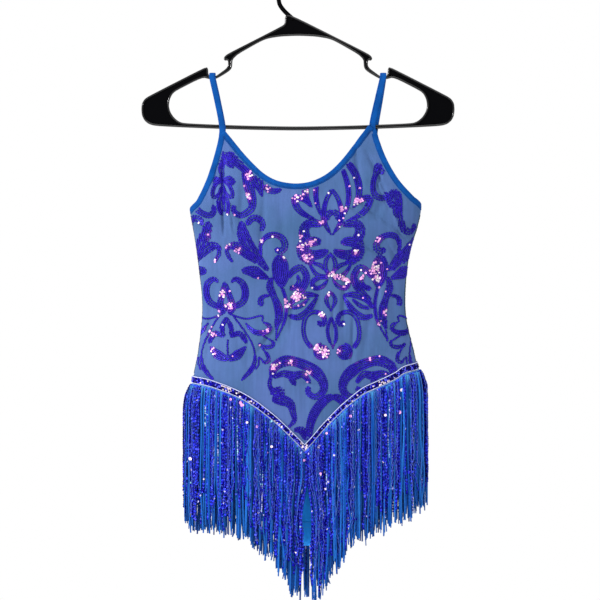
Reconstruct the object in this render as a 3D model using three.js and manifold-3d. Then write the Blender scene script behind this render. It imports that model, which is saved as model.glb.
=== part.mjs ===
import * as THREE from "three";
import { mergeVertices } from "three/addons/utils/BufferGeometryUtils.js";
import Module from "manifold-3d";

// A sequin fringe bodysuit hung on a notched plastic hanger.
// Millimetres, +Z up, the front of the suit faces -Y.
// The origin is the inner top of the hanger's hook, where a rail holds it.

const CLOTH = 1.5; // wall of the sequinned mesh with its lining
const GAP = 0.3; // between neighbouring pieces
const EDGE_GAP = 0.7; // beside a curved binding, whose chords differ from the panel's
const LEG_GAP = 1.1;
const BINDING_WIDTH = 8.5;
const BINDING_THICK = 2.4;
const STRAP_WIDTH = 8.6;
const STRAP_THICK = 1.6;
const TRIM_WIDTH = 9;
const TRIM_LIFT = 0.7;
const TRIM_THICK = 1.6;
const SLANT = 1.1; // a level drop on the sloping seam is longer than the width across it
const HEADER_GAP = 1.3; // level, between the trim and the fringe's tape
const HEADER_WIDTH = 8;
const HEADER_THICK = 2.8;
const ROOT_DEPTH = 6; // how far down the tape the strands begin
const STRAND_RADIUS = 1.25;
const STRAND_SIDES = 3;
const STRAND_SPACING = 4.1;
const FLATNESS = 0.8; // below 1 the section is flatter than an ellipse

const PANEL_ROWS = 14;
const BRIEF_ROWS = 7;
const SEAM_COLUMNS = 18; // from a side seam to the point of the V
const EDGE_COLUMNS = 9; // along each armhole edge
const LEG_COLUMNS = 14; // along each leg edge
const SIDE_CROWDING = 1.5; // above 1 the columns stand closer together near the side seams

// The suit's tube: its left and right sides and how far it stands out in front and behind.
const BODY = [
  { z: -200, left: -142, right: 160, front: 8, back: 8 },
  { z: -225, left: -143, right: 161, front: 10, back: 9 },
  { z: -270, left: -144, right: 162, front: 18, back: 14 },
  { z: -314, left: -145, right: 165, front: 26, back: 20 },
  { z: -340, left: -140.5, right: 160, front: 28, back: 21 },
  { z: -371, left: -135.5, right: 150.5, front: 27, back: 21 },
  { z: -403, left: -131.5, right: 145.5, front: 24, back: 20 },
  { z: -436, left: -128, right: 143.5, front: 22, back: 20 },
  { z: -468, left: -128.5, right: 146, front: 23, back: 22 },
  { z: -511, left: -134, right: 156, front: 26, back: 27 },
  { z: -543, left: -140, right: 162, front: 28, back: 30 },
  { z: -586, left: -140, right: 162, front: 28, back: 30 },
  { z: -640, left: -136, right: 158, front: 25, back: 27 },
  { z: -700, left: -118, right: 138, front: 18, back: 20 },
  { z: -745, left: -100, right: 120, front: 13, back: 14 },
];

// Soft folds: a line across the cloth, how wide it is and how far the cloth sinks (or rises, below 0).
const FOLDS = [
  { side: 1, x1: -103, z1: -245, x2: -100, z2: -345, wide: 7, sink: 3.2 },
  { side: 1, x1: -88, z1: -260, x2: -84, z2: -330, wide: 8, sink: -1.8 },
  { side: 1, x1: 118, z1: -300, x2: 100, z2: -330, wide: 6, sink: 2 },
  { side: 1, x1: -48, z1: -330, x2: -52, z2: -400, wide: 9, sink: 1.8 },
  { side: 1, x1: -12, z1: -470, x2: -38, z2: -505, wide: 8, sink: 1.6 },
  { side: 1, x1: 62, z1: -440, x2: 66, z2: -520, wide: 9, sink: 1.6 },
  { side: 1, x1: 128, z1: -400, x2: 132, z2: -500, wide: 9, sink: 2.2 },
  { side: 1, x1: -112, z1: -400, x2: -114, z2: -490, wide: 9, sink: 2.2 },
  { side: -1, x1: -95, z1: -290, x2: -90, z2: -380, wide: 8, sink: 2.6 },
  { side: -1, x1: 108, z1: -290, x2: 100, z2: -380, wide: 8, sink: 2.6 },
  { side: -1, x1: -20, z1: -400, x2: -25, z2: -490, wide: 10, sink: 2 },
  { side: -1, x1: 50, z1: -390, x2: 56, z2: -480, wide: 10, sink: 2 },
];

// Middle line of each binding, seen from the front or from behind; side 1 is the front, -1 the back.
const NECK_FRONT = [
  { x: -101, z: -214 },
  { x: -91, z: -226 },
  { x: -76, z: -244.5 },
  { x: -62, z: -259.5 },
  { x: -49, z: -271.5 },
  { x: -35, z: -280 },
  { x: -21, z: -284.5 },
  { x: -3, z: -286.5 },
  { x: 15, z: -284.5 },
  { x: 30, z: -279 },
  { x: 44, z: -270.5 },
  { x: 57.5, z: -258 },
  { x: 71, z: -242 },
  { x: 85, z: -223 },
  { x: 98, z: -206 },
];
const NECK_BACK = [
  { x: -103, z: -246 },
  { x: -88, z: -275 },
  { x: -66, z: -306 },
  { x: -35, z: -330 },
  { x: 1, z: -338 },
  { x: 37, z: -330 },
  { x: 68, z: -306 },
  { x: 88, z: -275 },
  { x: 99, z: -246 },
];
const ARMHOLE_LEFT = {
  front: [
    { x: -136, z: -311 },
    { x: -128, z: -299 },
    { x: -120.5, z: -283 },
    { x: -114.6, z: -268 },
    { x: -109.3, z: -251 },
    { x: -104.3, z: -232 },
    { x: -101.8, z: -220 },
  ],
  under: -320,
  back: [
    { x: -137, z: -312 },
    { x: -128, z: -300 },
    { x: -117, z: -283 },
    { x: -108, z: -266 },
    { x: -103, z: -250 },
  ],
};
const ARMHOLE_RIGHT = {
  front: [
    { x: 157, z: -306 },
    { x: 148, z: -298 },
    { x: 135, z: -284 },
    { x: 123, z: -266.5 },
    { x: 112.5, z: -246 },
    { x: 105, z: -226 },
    { x: 102.2, z: -216 },
  ],
  under: -314,
  back: [
    { x: 156, z: -309 },
    { x: 146, z: -298 },
    { x: 127, z: -283 },
    { x: 109, z: -266 },
    { x: 99.5, z: -250 },
  ],
};

// Each strap from the front joint over the hanger's arm to the back joint.
// Facing is the way its outer face looks: 0 to the front, 90 up, 180 to the back.
const STRAP_LEFT = [
  { x: -101.3, y: -5, z: -204, facing: 0 },
  { x: -108, y: -4.9, z: -170, facing: 0 },
  { x: -114.2, y: -4.8, z: -142, facing: 0 },
  { x: -114.6, y: -3.9, z: -136, facing: 45 },
  { x: -114.6, y: 0, z: -134.6, facing: 90 },
  { x: -114.6, y: 3.9, z: -136, facing: 135 },
  { x: -114.2, y: 4.8, z: -142, facing: 180 },
  { x: -108, y: 4.9, z: -170, facing: 180 },
  { x: -101.8, y: 5, z: -204, facing: 180 },
  { x: -101.6, y: 5.6, z: -230, facing: 180 },
];
const STRAP_RIGHT = [
  { x: 99.6, y: -5, z: -204, facing: 0 },
  { x: 106.8, y: -4.9, z: -170, facing: 0 },
  { x: 113.4, y: -4.8, z: -142, facing: 0 },
  { x: 114.2, y: -3.9, z: -136, facing: 45 },
  { x: 114.2, y: 0, z: -134.6, facing: 90 },
  { x: 114.2, y: 3.9, z: -136, facing: 135 },
  { x: 114, y: 4.8, z: -142, facing: 180 },
  { x: 109.6, y: 4.9, z: -170, facing: 180 },
  { x: 103.8, y: 5, z: -204, facing: 180 },
  { x: 101, y: 5.6, z: -230, facing: 180 },
];

// The V seam between the sequinned panels and the briefs, from side to side through the point.
const SEAM = [
  { x: -140, z: -544 },
  { x: -124, z: -547.5 },
  { x: -100, z: -555 },
  { x: -76, z: -565 },
  { x: -58, z: -575.5 },
  { x: -45, z: -585 },
  { x: -30, z: -597 },
  { x: -16, z: -610 },
  { x: -4, z: -622 },
  { x: 9, z: -635 },
  { x: 21, z: -622 },
  { x: 31, z: -610 },
  { x: 46, z: -594 },
  { x: 61, z: -579.5 },
  { x: 84, z: -561 },
  { x: 100, z: -553 },
  { x: 117, z: -545.5 },
  { x: 131, z: -538.5 },
  { x: 144, z: -530.5 },
  { x: 161, z: -525 },
];
const SEAM_POINT = 9; // row of the V's point

// The fringe's lower edge.
const HEM = [
  { x: -152, z: -742 },
  { x: -111, z: -747 },
  { x: -91, z: -750 },
  { x: -68, z: -758 },
  { x: -56, z: -771 },
  { x: -35, z: -789 },
  { x: -20, z: -810 },
  { x: 0, z: -828 },
  { x: 12, z: -832 },
  { x: 24, z: -828 },
  { x: 42, z: -808 },
  { x: 56, z: -789 },
  { x: 70, z: -768 },
  { x: 87, z: -757 },
  { x: 110, z: -747 },
  { x: 143, z: -728 },
  { x: 174, z: -708 },
];
const RAGGED = 9; // how much the strand ends differ
const STRAND_SWAY = 0.5;
const FLARE = 6; // how far the strands stand out below the tape
const STRAND_LEVELS = [
  { part: 0, away: 0 },
  { part: 0.16, away: 0.85 },
  { part: 1, away: 1 },
];

// Leg openings, cut high; then the narrow gusset that carries on under the suit.
const MIDDLE = 9;
const LEG_FRONT = [
  { out: 142, z: -611 },
  { out: 130, z: -624 },
  { out: 108, z: -648 },
  { out: 84, z: -673 },
  { out: 60, z: -695 },
  { out: 43, z: -711 },
  { out: 36.5, z: -722 },
];
const LEG_BACK = [
  { out: 142, z: -612 },
  { out: 132, z: -630 },
  { out: 112, z: -658 },
  { out: 88, z: -683 },
  { out: 62, z: -702 },
  { out: 43.5, z: -713 },
  { out: 36.5, z: -722 },
];
const LEG_SIDE = -606;
const GUSSET = { top: -733, drop: 34, half: 30, narrow: 4, front: 14.3, back: 15.3, rows: 12, columns: 4 };

// The hanger's outline, left half: how far out from its middle, and the height.
const HANGER_THICK = 6.4;
const HANGER_BEVEL = 1;
const HANGER_OUTER = [
  { out: 56, z: -88.5 },
  { out: 94, z: -107.8 },
  { out: 98.5, z: -111.5 },
  { out: 99.8, z: -115 },
  { out: 97.8, z: -117.6 },
  { out: 93.8, z: -116.8 },
  { out: 93.8, z: -126 },
  { out: 108, z: -136.4 },
  { out: 110.5, z: -138 },
  { out: 118.8, z: -138 },
  { out: 120.1, z: -134.5 },
  { out: 120.2, z: -129 },
  { out: 121.6, z: -126.3 },
  { out: 124, z: -125.8 },
  { out: 198.7, z: -163.9 },
  { out: 205.5, z: -168.4 },
  { out: 209.3, z: -174.5 },
  { out: 210, z: -182 },
  { out: 209.3, z: -190.5 },
  { out: 206, z: -197.5 },
  { out: 200.3, z: -202.3 },
  { out: 191.9, z: -204.9 },
  { out: 153.4, z: -207 },
  { out: 80, z: -209.7 },
];
const HANGER_FOOT = { out: 0, z: -211.2 };
const HANGER_HOLE = [
  { out: 0, z: -205.6 },
  { out: 60, z: -204.6 },
  { out: 105.9, z: -203.1 },
  { out: 153.4, z: -201 },
  { out: 160.5, z: -198.2 },
  { out: 166.5, z: -193 },
  { out: 171, z: -186 },
  { out: 173, z: -178 },
  { out: 171.8, z: -169.5 },
  { out: 168.5, z: -162.5 },
  { out: 163.7, z: -157.9 },
  { out: 128, z: -139.7 },
  { out: 118.5, z: -142.4 },
  { out: 110, z: -141.4 },
  { out: 93.8, z: -131.5 },
  { out: 89, z: -126.8 },
  { out: 88.2, z: -112.6 },
  { out: 50.9, z: -91.9 },
  { out: 40.6, z: -87.8 },
  { out: 23.6, z: -85 },
  { out: 0, z: -84 },
];
const HANGER_NECK = [
  { x: -9.9, z: -56 },
  { x: -17.8, z: -59 },
  { x: -17.8, z: -67.7 },
  { x: -20.9, z: -70.4 },
];
const HOOK_RADIUS = 26;
const HOOK_WIRE = 2.95;
const HOOK_FOOT = [
  { x: -7, z: -64 },
  { x: -13.5, z: -57.5 },
  { x: -19.5, z: -51 },
  { x: -24.3, z: -43 },
];
const HOOK_END = -28; // degrees below level at the hook's free end

const wasm = await Module();
wasm.setup();

// The value of a column between two rows, along a smooth curve.
function read(rows, by, key, at) {
  const last = rows.length - 1;
  const rising = rows[last][by] > rows[0][by];
  const next = rows.findIndex((row) => (rising ? row[by] >= at : row[by] <= at));
  if (next === 0) return rows[0][key];
  if (next < 0) return rows[last][key];
  const slope = (i) => {
    const a = rows[Math.max(i - 1, 0)];
    const b = rows[Math.min(i + 1, last)];
    return (b[key] - a[key]) / (b[by] - a[by]);
  };
  const from = rows[next - 1];
  const to = rows[next];
  const span = to[by] - from[by];
  const t = (at - from[by]) / span;
  const s = t * t * (3 - 2 * t);
  const start = t * (1 - t) * (1 - t) * span * slope(next - 1);
  const end = t * t * (t - 1) * span * slope(next);
  return from[key] + (to[key] - from[key]) * s + start + end;
}

// How far a fold sinks the cloth at a place.
function foldAt(side, x, z) {
  let sink = 0;
  for (const fold of FOLDS) {
    if (fold.side !== side) continue;
    const along = new THREE.Vector2(fold.x2 - fold.x1, fold.z2 - fold.z1);
    const reach = along.length();
    along.normalize();
    const from = new THREE.Vector2(x - fold.x1, z - fold.z1);
    const t = THREE.MathUtils.clamp(from.dot(along) / reach, 0, 1);
    const away = Math.hypot(x - fold.x1 - along.x * reach * t, z - fold.z1 - along.y * reach * t);
    const taper = Math.sin(Math.PI * THREE.MathUtils.clamp(0.1 + 0.8 * t, 0, 1));
    sink += fold.sink * taper * Math.exp(-((away / fold.wide) ** 2));
  }
  return sink;
}

// A point of the tube: turn is 0 at the front, -90 and 90 at the sides and 180 at the back.
function tubePoint(turn, z) {
  const a = THREE.MathUtils.degToRad(turn);
  const left = read(BODY, "z", "left", z);
  const right = read(BODY, "z", "right", z);
  const ahead = Math.cos(a);
  const side = ahead >= 0 ? 1 : -1;
  const depth = read(BODY, "z", side > 0 ? "front" : "back", z);
  const x = (left + right) / 2 + ((right - left) / 2) * Math.sin(a);
  const out = Math.abs(ahead) ** FLATNESS;
  return new THREE.Vector3(x, -side * (depth * out + GAP / 2 - out * foldAt(side, x, z)), z);
}

// A tube point and the way the cloth faces there.
function tubeFrame(turn, z, lift = 0) {
  const step = 0.6;
  const across = tubePoint(turn + step, z).sub(tubePoint(turn - step, z));
  const up = tubePoint(turn, z + step).sub(tubePoint(turn, z - step));
  const normal = across.cross(up).normalize();
  const point = tubePoint(turn, z).addScaledVector(normal, lift);
  return { point, normal };
}

// The turn at which the tube has a given x, seen from the front or from behind.
function turnAt(side, x, z) {
  const left = read(BODY, "z", "left", z);
  const right = read(BODY, "z", "right", z);
  const sine = (x - (left + right) / 2) / ((right - left) / 2);
  const turn = THREE.MathUtils.radToDeg(Math.asin(THREE.MathUtils.clamp(sine, -1, 1)));
  return side > 0 ? turn : 180 - turn;
}

// Places are { turn, z }. The distance between two of them, nearly in millimetres.
function apart(a, b) {
  return tubePoint(a.turn, a.z).distanceTo(tubePoint(b.turn, b.z));
}

// A smooth line through places.
function lineThrough(places, steps) {
  const points = places.map((p) => new THREE.Vector3(p.turn * 2, p.z, 0));
  const curve = new THREE.CatmullRomCurve3(points, false, "centripetal");
  return curve.getSpacedPoints(steps).map((p) => ({ turn: p.x / 2, z: p.y }));
}

// The same line with a given number of steps, spaced by a rule from 0 to 1.
function respaced(line, steps, rule = (u) => u) {
  const length = [0];
  for (let i = 1; i < line.length; i++) length.push(length[i - 1] + apart(line[i - 1], line[i]));
  const total = length[length.length - 1];
  return Array.from({ length: steps + 1 }, (_, k) => {
    const at = rule(k / steps) * total;
    let i = 1;
    while (i < line.length - 1 && length[i] < at) i++;
    const t = (at - length[i - 1]) / (length[i] - length[i - 1] || 1);
    const [a, b] = [line[i - 1], line[i]];
    return { turn: a.turn + (b.turn - a.turn) * t, z: a.z + (b.z - a.z) * t };
  });
}

const fromSide = (u) => u ** SIDE_CROWDING;
const toSide = (u) => 1 - (1 - u) ** SIDE_CROWDING;
const toBothEnds = (u) => u * u * (3 - 2 * u);

// A line on the tube moved across itself by a distance, to its left as it runs, seen from outside.
function beside(line, distance) {
  return line.map((place, i) => {
    const before = line[Math.max(i - 1, 0)];
    const after = line[Math.min(i + 1, line.length - 1)];
    const { point, normal } = tubeFrame(place.turn, place.z);
    const along = tubePoint(after.turn, after.z).sub(tubePoint(before.turn, before.z)).normalize();
    const left = normal.clone().cross(along).normalize();
    const step = 0.5;
    const perDegree = tubePoint(place.turn + step, place.z).distanceTo(point) / step;
    const perHeight = tubePoint(place.turn, place.z + step).distanceTo(point) / step;
    const across = tubePoint(place.turn + step, place.z).sub(point).normalize();
    return {
      turn: place.turn + (distance * left.dot(across)) / perDegree,
      z: place.z + (distance * left.z) / perHeight,
    };
  });
}

// Geometry with its faces turned out.
function geometryOf(positions, triangles) {
  let volume = 0;
  const p = (i) => positions[i];
  for (const [a, b, c] of triangles) volume += p(a).dot(p(b).clone().cross(p(c)));
  const index = triangles.flatMap(([a, b, c]) => (volume < 0 ? [a, c, b] : [a, b, c]));
  const geometry = new THREE.BufferGeometry();
  const flat = new Float32Array(positions.flatMap((v) => [v.x, v.y, v.z]));
  geometry.setAttribute("position", new THREE.BufferAttribute(flat, 3));
  geometry.setIndex(index);
  geometry.computeVertexNormals();
  return geometry;
}

// A closed wall between an outer and an inner grid of points.
function wall(outer, inner) {
  const rows = outer.length;
  const columns = outer[0].length;
  const positions = [...outer.flat(), ...inner.flat()];
  const at = (layer, r, c) => layer * rows * columns + r * columns + c;
  const triangles = [];
  const quad = (a, b, c, d) => triangles.push([a, b, c], [a, c, d]);
  for (let r = 0; r < rows - 1; r++) {
    for (let c = 0; c < columns - 1; c++) {
      quad(at(0, r, c), at(0, r, c + 1), at(0, r + 1, c + 1), at(0, r + 1, c));
      quad(at(1, r, c), at(1, r + 1, c), at(1, r + 1, c + 1), at(1, r, c + 1));
    }
  }
  for (let c = 0; c < columns - 1; c++) {
    quad(at(0, 0, c + 1), at(0, 0, c), at(1, 0, c), at(1, 0, c + 1));
    quad(at(0, rows - 1, c), at(0, rows - 1, c + 1), at(1, rows - 1, c + 1), at(1, rows - 1, c));
  }
  for (let r = 0; r < rows - 1; r++) {
    quad(at(0, r, 0), at(0, r + 1, 0), at(1, r + 1, 0), at(1, r, 0));
    quad(at(0, r + 1, columns - 1), at(0, r, columns - 1), at(1, r, columns - 1), at(1, r + 1, columns - 1));
  }
  return geometryOf(positions, triangles);
}

// A panel of cloth between its upper and lower edges.
function panel(top, bottom, rows) {
  const outer = [];
  const inner = [];
  for (let r = 0; r <= rows; r++) {
    const t = r / rows;
    const blend = t * t * (3 - 2 * t);
    const frames = top.map((place, i) => {
      const turn = place.turn + (bottom[i].turn - place.turn) * blend;
      return tubeFrame(turn, place.z + (bottom[i].z - place.z) * t);
    });
    outer.push(frames.map((f) => f.point));
    inner.push(frames.map((f) => f.point.clone().addScaledVector(f.normal, -CLOTH)));
  }
  return wall(outer, inner);
}

// A flat band along frames { point, normal }, closed into a ring or with two ends.
function band(frames, width, thick, closed) {
  const count = frames.length;
  const positions = [];
  frames.forEach((frame, i) => {
    const before = frames[closed ? (i + count - 1) % count : Math.max(i - 1, 0)];
    const after = frames[closed ? (i + 1) % count : Math.min(i + 1, count - 1)];
    const along = after.point.clone().sub(before.point).normalize();
    const left = frame.normal.clone().cross(along).normalize();
    const out = along.clone().cross(left).normalize();
    for (const [w, t] of [[-1, -1], [1, -1], [1, 1], [-1, 1]]) {
      const corner = frame.point.clone().addScaledVector(left, (w * width) / 2);
      positions.push(corner.addScaledVector(out, (t * thick) / 2));
    }
  });
  const triangles = [];
  for (let i = 0; i < (closed ? count : count - 1); i++) {
    const next = (i + 1) % count;
    for (let k = 0; k < 4; k++) {
      const m = (k + 1) % 4;
      triangles.push([i * 4 + k, next * 4 + k, next * 4 + m], [i * 4 + k, next * 4 + m, i * 4 + m]);
    }
  }
  if (!closed) {
    const end = (count - 1) * 4;
    triangles.push([0, 1, 2], [0, 2, 3], [end, end + 2, end + 1], [end, end + 3, end + 2]);
  }
  return geometryOf(positions, triangles);
}

// A strip lying on the tube between two lines, between two heights above the cloth.
function strip(upper, lower, from, to) {
  const grid = (lift) => [upper, lower].map((line) => line.map((p) => tubeFrame(p.turn, p.z, lift).point));
  return wall(grid(to), grid(from));
}

function toSolid(geometry) {
  const bare = geometry.clone();
  bare.deleteAttribute("normal");
  bare.deleteAttribute("uv");
  const merged = mergeVertices(bare, 1e-4);
  return new wasm.Manifold(
    new wasm.Mesh({
      numProp: 3,
      vertProperties: new Float32Array(merged.attributes.position.array),
      triVerts: new Uint32Array(merged.index.array),
    }),
  );
}

function toGeometry(solid) {
  const made = solid.getMesh();
  const geometry = new THREE.BufferGeometry();
  geometry.setAttribute("position", new THREE.BufferAttribute(made.vertProperties, 3));
  geometry.setIndex(new THREE.BufferAttribute(made.triVerts, 1));
  geometry.computeVertexNormals();
  return geometry;
}

// The hanger: one flat moulding with notched arms, and a round hook grown out of its neck.
function hangerGeometry() {
  const outline = new THREE.Shape();
  const right = HANGER_OUTER.map((p) => [p.out, p.z]);
  const left = HANGER_OUTER.map((p) => [-p.out, p.z]).reverse();
  const neck = HANGER_NECK.map((p) => [p.x, p.z]);
  const points = [...neck.slice().reverse(), ...right, [HANGER_FOOT.out, HANGER_FOOT.z], ...left];
  points.forEach(([x, z], i) => (i ? outline.lineTo(x, z) : outline.moveTo(x, z)));
  const hole = new THREE.Path();
  const rim = [
    ...HANGER_HOLE.map((p) => [p.out, p.z]),
    ...HANGER_HOLE.slice(1, -1).map((p) => [-p.out, p.z]).reverse(),
  ];
  rim.forEach(([x, z], i) => (i ? hole.lineTo(x, z) : hole.moveTo(x, z)));
  outline.holes.push(hole);
  const plate = new THREE.ExtrudeGeometry(outline, {
    depth: HANGER_THICK - 2 * HANGER_BEVEL,
    bevelThickness: HANGER_BEVEL,
    bevelSize: HANGER_BEVEL,
    bevelOffset: -HANGER_BEVEL,
    bevelSegments: 1,
  });
  plate.translate(0, 0, HANGER_BEVEL - HANGER_THICK / 2);
  plate.rotateX(Math.PI / 2);

  const centre = -HOOK_RADIUS + HOOK_WIRE;
  const route = HOOK_FOOT.map((p) => new THREE.Vector3(p.x, 0, p.z));
  route.push(new THREE.Vector3(-HOOK_RADIUS, 0, centre - 11));
  for (let a = 180; a >= HOOK_END; a -= 16) {
    const angle = THREE.MathUtils.degToRad(a);
    route.push(new THREE.Vector3(HOOK_RADIUS * Math.cos(angle), 0, centre + HOOK_RADIUS * Math.sin(angle)));
  }
  const round = new THREE.Shape().absarc(0, 0, HOOK_WIRE, 0, 2 * Math.PI);
  const hook = new THREE.ExtrudeGeometry(round, {
    steps: 34,
    curveSegments: 5,
    bevelEnabled: false,
    extrudePath: new THREE.CatmullRomCurve3(route, false, "centripetal"),
  });
  return toGeometry(toSolid(plate).add(toSolid(hook)));
}

// An armhole binding's line from its back joint round under the arm to its front joint.
function armholeLine(rows) {
  const leftSide = rows.front[0].x < 0;
  const side = leftSide ? -90 : 90;
  const behind = (p) => (leftSide ? turnAt(-1, p.x, p.z) - 360 : turnAt(-1, p.x, p.z));
  const places = [
    ...rows.back.slice().reverse().map((p) => ({ turn: behind(p), z: p.z })),
    { turn: side, z: rows.under },
    ...rows.front.map((p) => ({ turn: turnAt(1, p.x, p.z), z: p.z })),
  ];
  return lineThrough(places, 120);
}

// Frames along the strap, between its two joints.
function strapFrames(rows, from, to) {
  const all = [from.point, ...rows.map((p) => new THREE.Vector3(p.x, p.y, p.z)), to.point];
  const curve = new THREE.CatmullRomCurve3(all, false, "centripetal");
  const faced = [0, ...rows.map((p) => p.facing), 180];
  const steps = 3;
  const frames = [];
  for (let i = 0; i < faced.length - 1; i++) {
    for (let k = 0; k < steps; k++) {
      if (i + k === 0) continue;
      const t = k / steps;
      const a = THREE.MathUtils.degToRad(faced[i] + (faced[i + 1] - faced[i]) * t);
      frames.push({
        point: curve.getPoint((i + t) / (faced.length - 1)),
        normal: new THREE.Vector3(0, -Math.cos(a), Math.sin(a)),
      });
    }
  }
  return frames;
}

// The strap and the armhole binding are one strip, sewn into a ring.
function strapAndArmhole(rows, strap, width, thick) {
  const line = respaced(armholeLine(rows), 26);
  const onBody = line.map((p) => tubeFrame(p.turn, p.z, -CLOTH / 2));
  const overHanger = strapFrames(strap, onBody[onBody.length - 1], onBody[0]);
  return band([...onBody, ...overHanger], width, thick, true);
}

const neckLine = (rows, side) => lineThrough(rows.map((p) => ({ turn: turnAt(side, p.x, p.z), z: p.z })), 120);

function neckBinding(rows, side, cutters) {
  const frames = respaced(neckLine(rows, side), 30).map((p) => tubeFrame(p.turn, p.z, -CLOTH / 2));
  let solid = toSolid(band(frames, BINDING_WIDTH, BINDING_THICK, false));
  for (const cutter of cutters) solid = solid.subtract(cutter);
  const pieces = solid.decompose();
  pieces.sort((a, b) => b.volume() - a.volume());
  return toGeometry(pieces[0]);
}

// The part of a line that lies below another one.
function below(line, other) {
  const ordered = other[0].turn < other[other.length - 1].turn ? other : other.slice().reverse();
  return line.filter((place) => {
    const next = ordered.findIndex((p) => p.turn >= place.turn);
    if (next <= 0) return true;
    const [a, b] = [ordered[next - 1], ordered[next]];
    const z = a.z + ((b.z - a.z) * (place.turn - a.turn)) / (b.turn - a.turn || 1);
    return place.z <= z;
  });
}

// The upper edge of a panel: armhole, neck and armhole, beside the bindings, from the -X side on.
function upperEdge(side) {
  const clear = BINDING_WIDTH / 2 + EDGE_GAP;
  const inFront = (p) => Math.abs(p.turn) <= 90;
  const half = (line) => line.filter((p) => inFront(p) === side > 0);
  const wrap = (line) => (side > 0 ? line : line.map((p) => ({ turn: (p.turn + 360) % 360, z: p.z })));
  const leftArm = wrap(beside(half(armholeLine(ARMHOLE_LEFT)), -clear));
  const rightArm = wrap(beside(half(armholeLine(ARMHOLE_RIGHT)), clear));
  const neck = beside(neckLine(side > 0 ? NECK_FRONT : NECK_BACK, side), side > 0 ? -clear : clear);
  const pieces = {
    left: below(side > 0 ? leftArm : leftArm.reverse(), neck),
    neck: below(below(neck, leftArm), rightArm),
    right: below(side > 0 ? rightArm.reverse() : rightArm, neck),
  };
  const sideTurn = side > 0 ? [-90, 90] : [270, 90];
  pieces.left[0].turn = sideTurn[0];
  pieces.right[pieces.right.length - 1].turn = sideTurn[1];
  return [
    ...respaced(pieces.left, EDGE_COLUMNS, fromSide),
    ...respaced(pieces.neck, 2 * (SEAM_COLUMNS - EDGE_COLUMNS)).slice(1, -1),
    ...respaced(pieces.right, EDGE_COLUMNS, toSide),
  ];
}

// The V seam on one side of the suit, with columns crowded at the side seams.
function seamLine(side) {
  const places = SEAM.map((p) => ({ turn: turnAt(side, p.x, p.z), z: p.z }));
  places[0].turn = side > 0 ? -90 : 270;
  places[places.length - 1].turn = 90;
  const left = lineThrough(places.slice(0, SEAM_POINT + 1), 60);
  const right = lineThrough(places.slice(SEAM_POINT), 60);
  return [
    ...respaced(left, SEAM_COLUMNS, fromSide),
    ...respaced(right, SEAM_COLUMNS, toSide).slice(1),
  ];
}

// A seam line moved down the cloth; the V keeps its shape.
const lowered = (line, drop) => line.map((p) => ({ turn: p.turn, z: p.z - drop }));

// A leg opening's binding line from the side seam down to the gusset.
function legLine(side, leg) {
  const rows = side > 0 ? LEG_FRONT : LEG_BACK;
  const edge = GUSSET.half + GAP + BINDING_WIDTH / 2;
  const sideTurn = leg < 0 ? (side > 0 ? -90 : 270) : 90;
  const places = [
    { turn: sideTurn, z: LEG_SIDE },
    ...rows.map((p) => ({ turn: turnAt(side, MIDDLE + leg * p.out, p.z), z: p.z })),
    { turn: turnAt(side, MIDDLE + leg * edge, GUSSET.top), z: GUSSET.top },
  ];
  return lineThrough(places, 80);
}

// A point of the gusset: sweep runs from 0 at the front seam to 180 at the back seam.
function gussetFrame(across, sweep, lift) {
  const a = THREE.MathUtils.degToRad(sweep);
  const reach = Math.cos(a) > 0 ? GUSSET.front : GUSSET.back;
  const point = new THREE.Vector3(MIDDLE + across, -reach * Math.cos(a), GUSSET.top - GAP - GUSSET.drop * Math.sin(a));
  const normal = new THREE.Vector3(0, -Math.cos(a) / reach, -Math.sin(a) / GUSSET.drop).normalize();
  point.addScaledVector(normal, lift);
  return { point, normal };
}

const gussetHalf = (sweep) => GUSSET.half - GUSSET.narrow * Math.sin(THREE.MathUtils.degToRad(sweep));

function gusset() {
  const grid = (lift) =>
    Array.from({ length: GUSSET.rows + 1 }, (_, r) => {
      const sweep = (180 * r) / GUSSET.rows;
      return Array.from({ length: GUSSET.columns + 1 }, (_, c) => {
        const across = gussetHalf(sweep) * ((2 * c) / GUSSET.columns - 1);
        return gussetFrame(across, sweep, lift).point;
      });
    });
  return wall(grid(0), grid(-CLOTH));
}

// A leg binding: down the front edge, under beside the gusset and up the back edge.
function legBinding(leg) {
  const onBody = (side) => respaced(legLine(side, leg), 18, toBothEnds).map((p) => tubeFrame(p.turn, p.z, -CLOTH / 2));
  const under = [];
  for (let r = 1; r < GUSSET.rows; r++) {
    const sweep = (180 * r) / GUSSET.rows;
    const across = leg * (gussetHalf(sweep) + GAP + BINDING_WIDTH / 2);
    under.push(gussetFrame(across, sweep, -CLOTH / 2));
  }
  const back = onBody(-1).reverse();
  return band([...onBody(1), ...under, ...back.slice(0, -1)], BINDING_WIDTH, BINDING_THICK, true);
}

// The lower edge of a brief: leg, gusset seam and leg, from the -X side on.
function lowerEdge(side) {
  const clear = BINDING_WIDTH / 2 + LEG_GAP;
  const left = beside(legLine(side, -1), side > 0 ? clear : -clear);
  const right = beside(legLine(side, 1), side > 0 ? -clear : clear).reverse();
  const sideTurn = side > 0 ? -90 : 270;
  left[0].turn = sideTurn;
  right[right.length - 1].turn = 90;
  const corner = (out) => ({ turn: turnAt(side, MIDDLE + out, GUSSET.top), z: GUSSET.top });
  left[left.length - 1] = corner(-GUSSET.half);
  right[0] = corner(GUSSET.half);
  const hem = [left[left.length - 1], right[0]];
  return [
    ...respaced(left, LEG_COLUMNS, toBothEnds),
    ...respaced(hem, 2 * (SEAM_COLUMNS - LEG_COLUMNS)).slice(1, -1),
    ...respaced(right, LEG_COLUMNS, toBothEnds),
  ];
}

// A number from 0 to 1 that looks random and is always the same.
const chance = (seed) => Math.abs(Math.sin(seed * 12.9898 + 4.1414) * 43758.5453) % 1;

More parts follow.
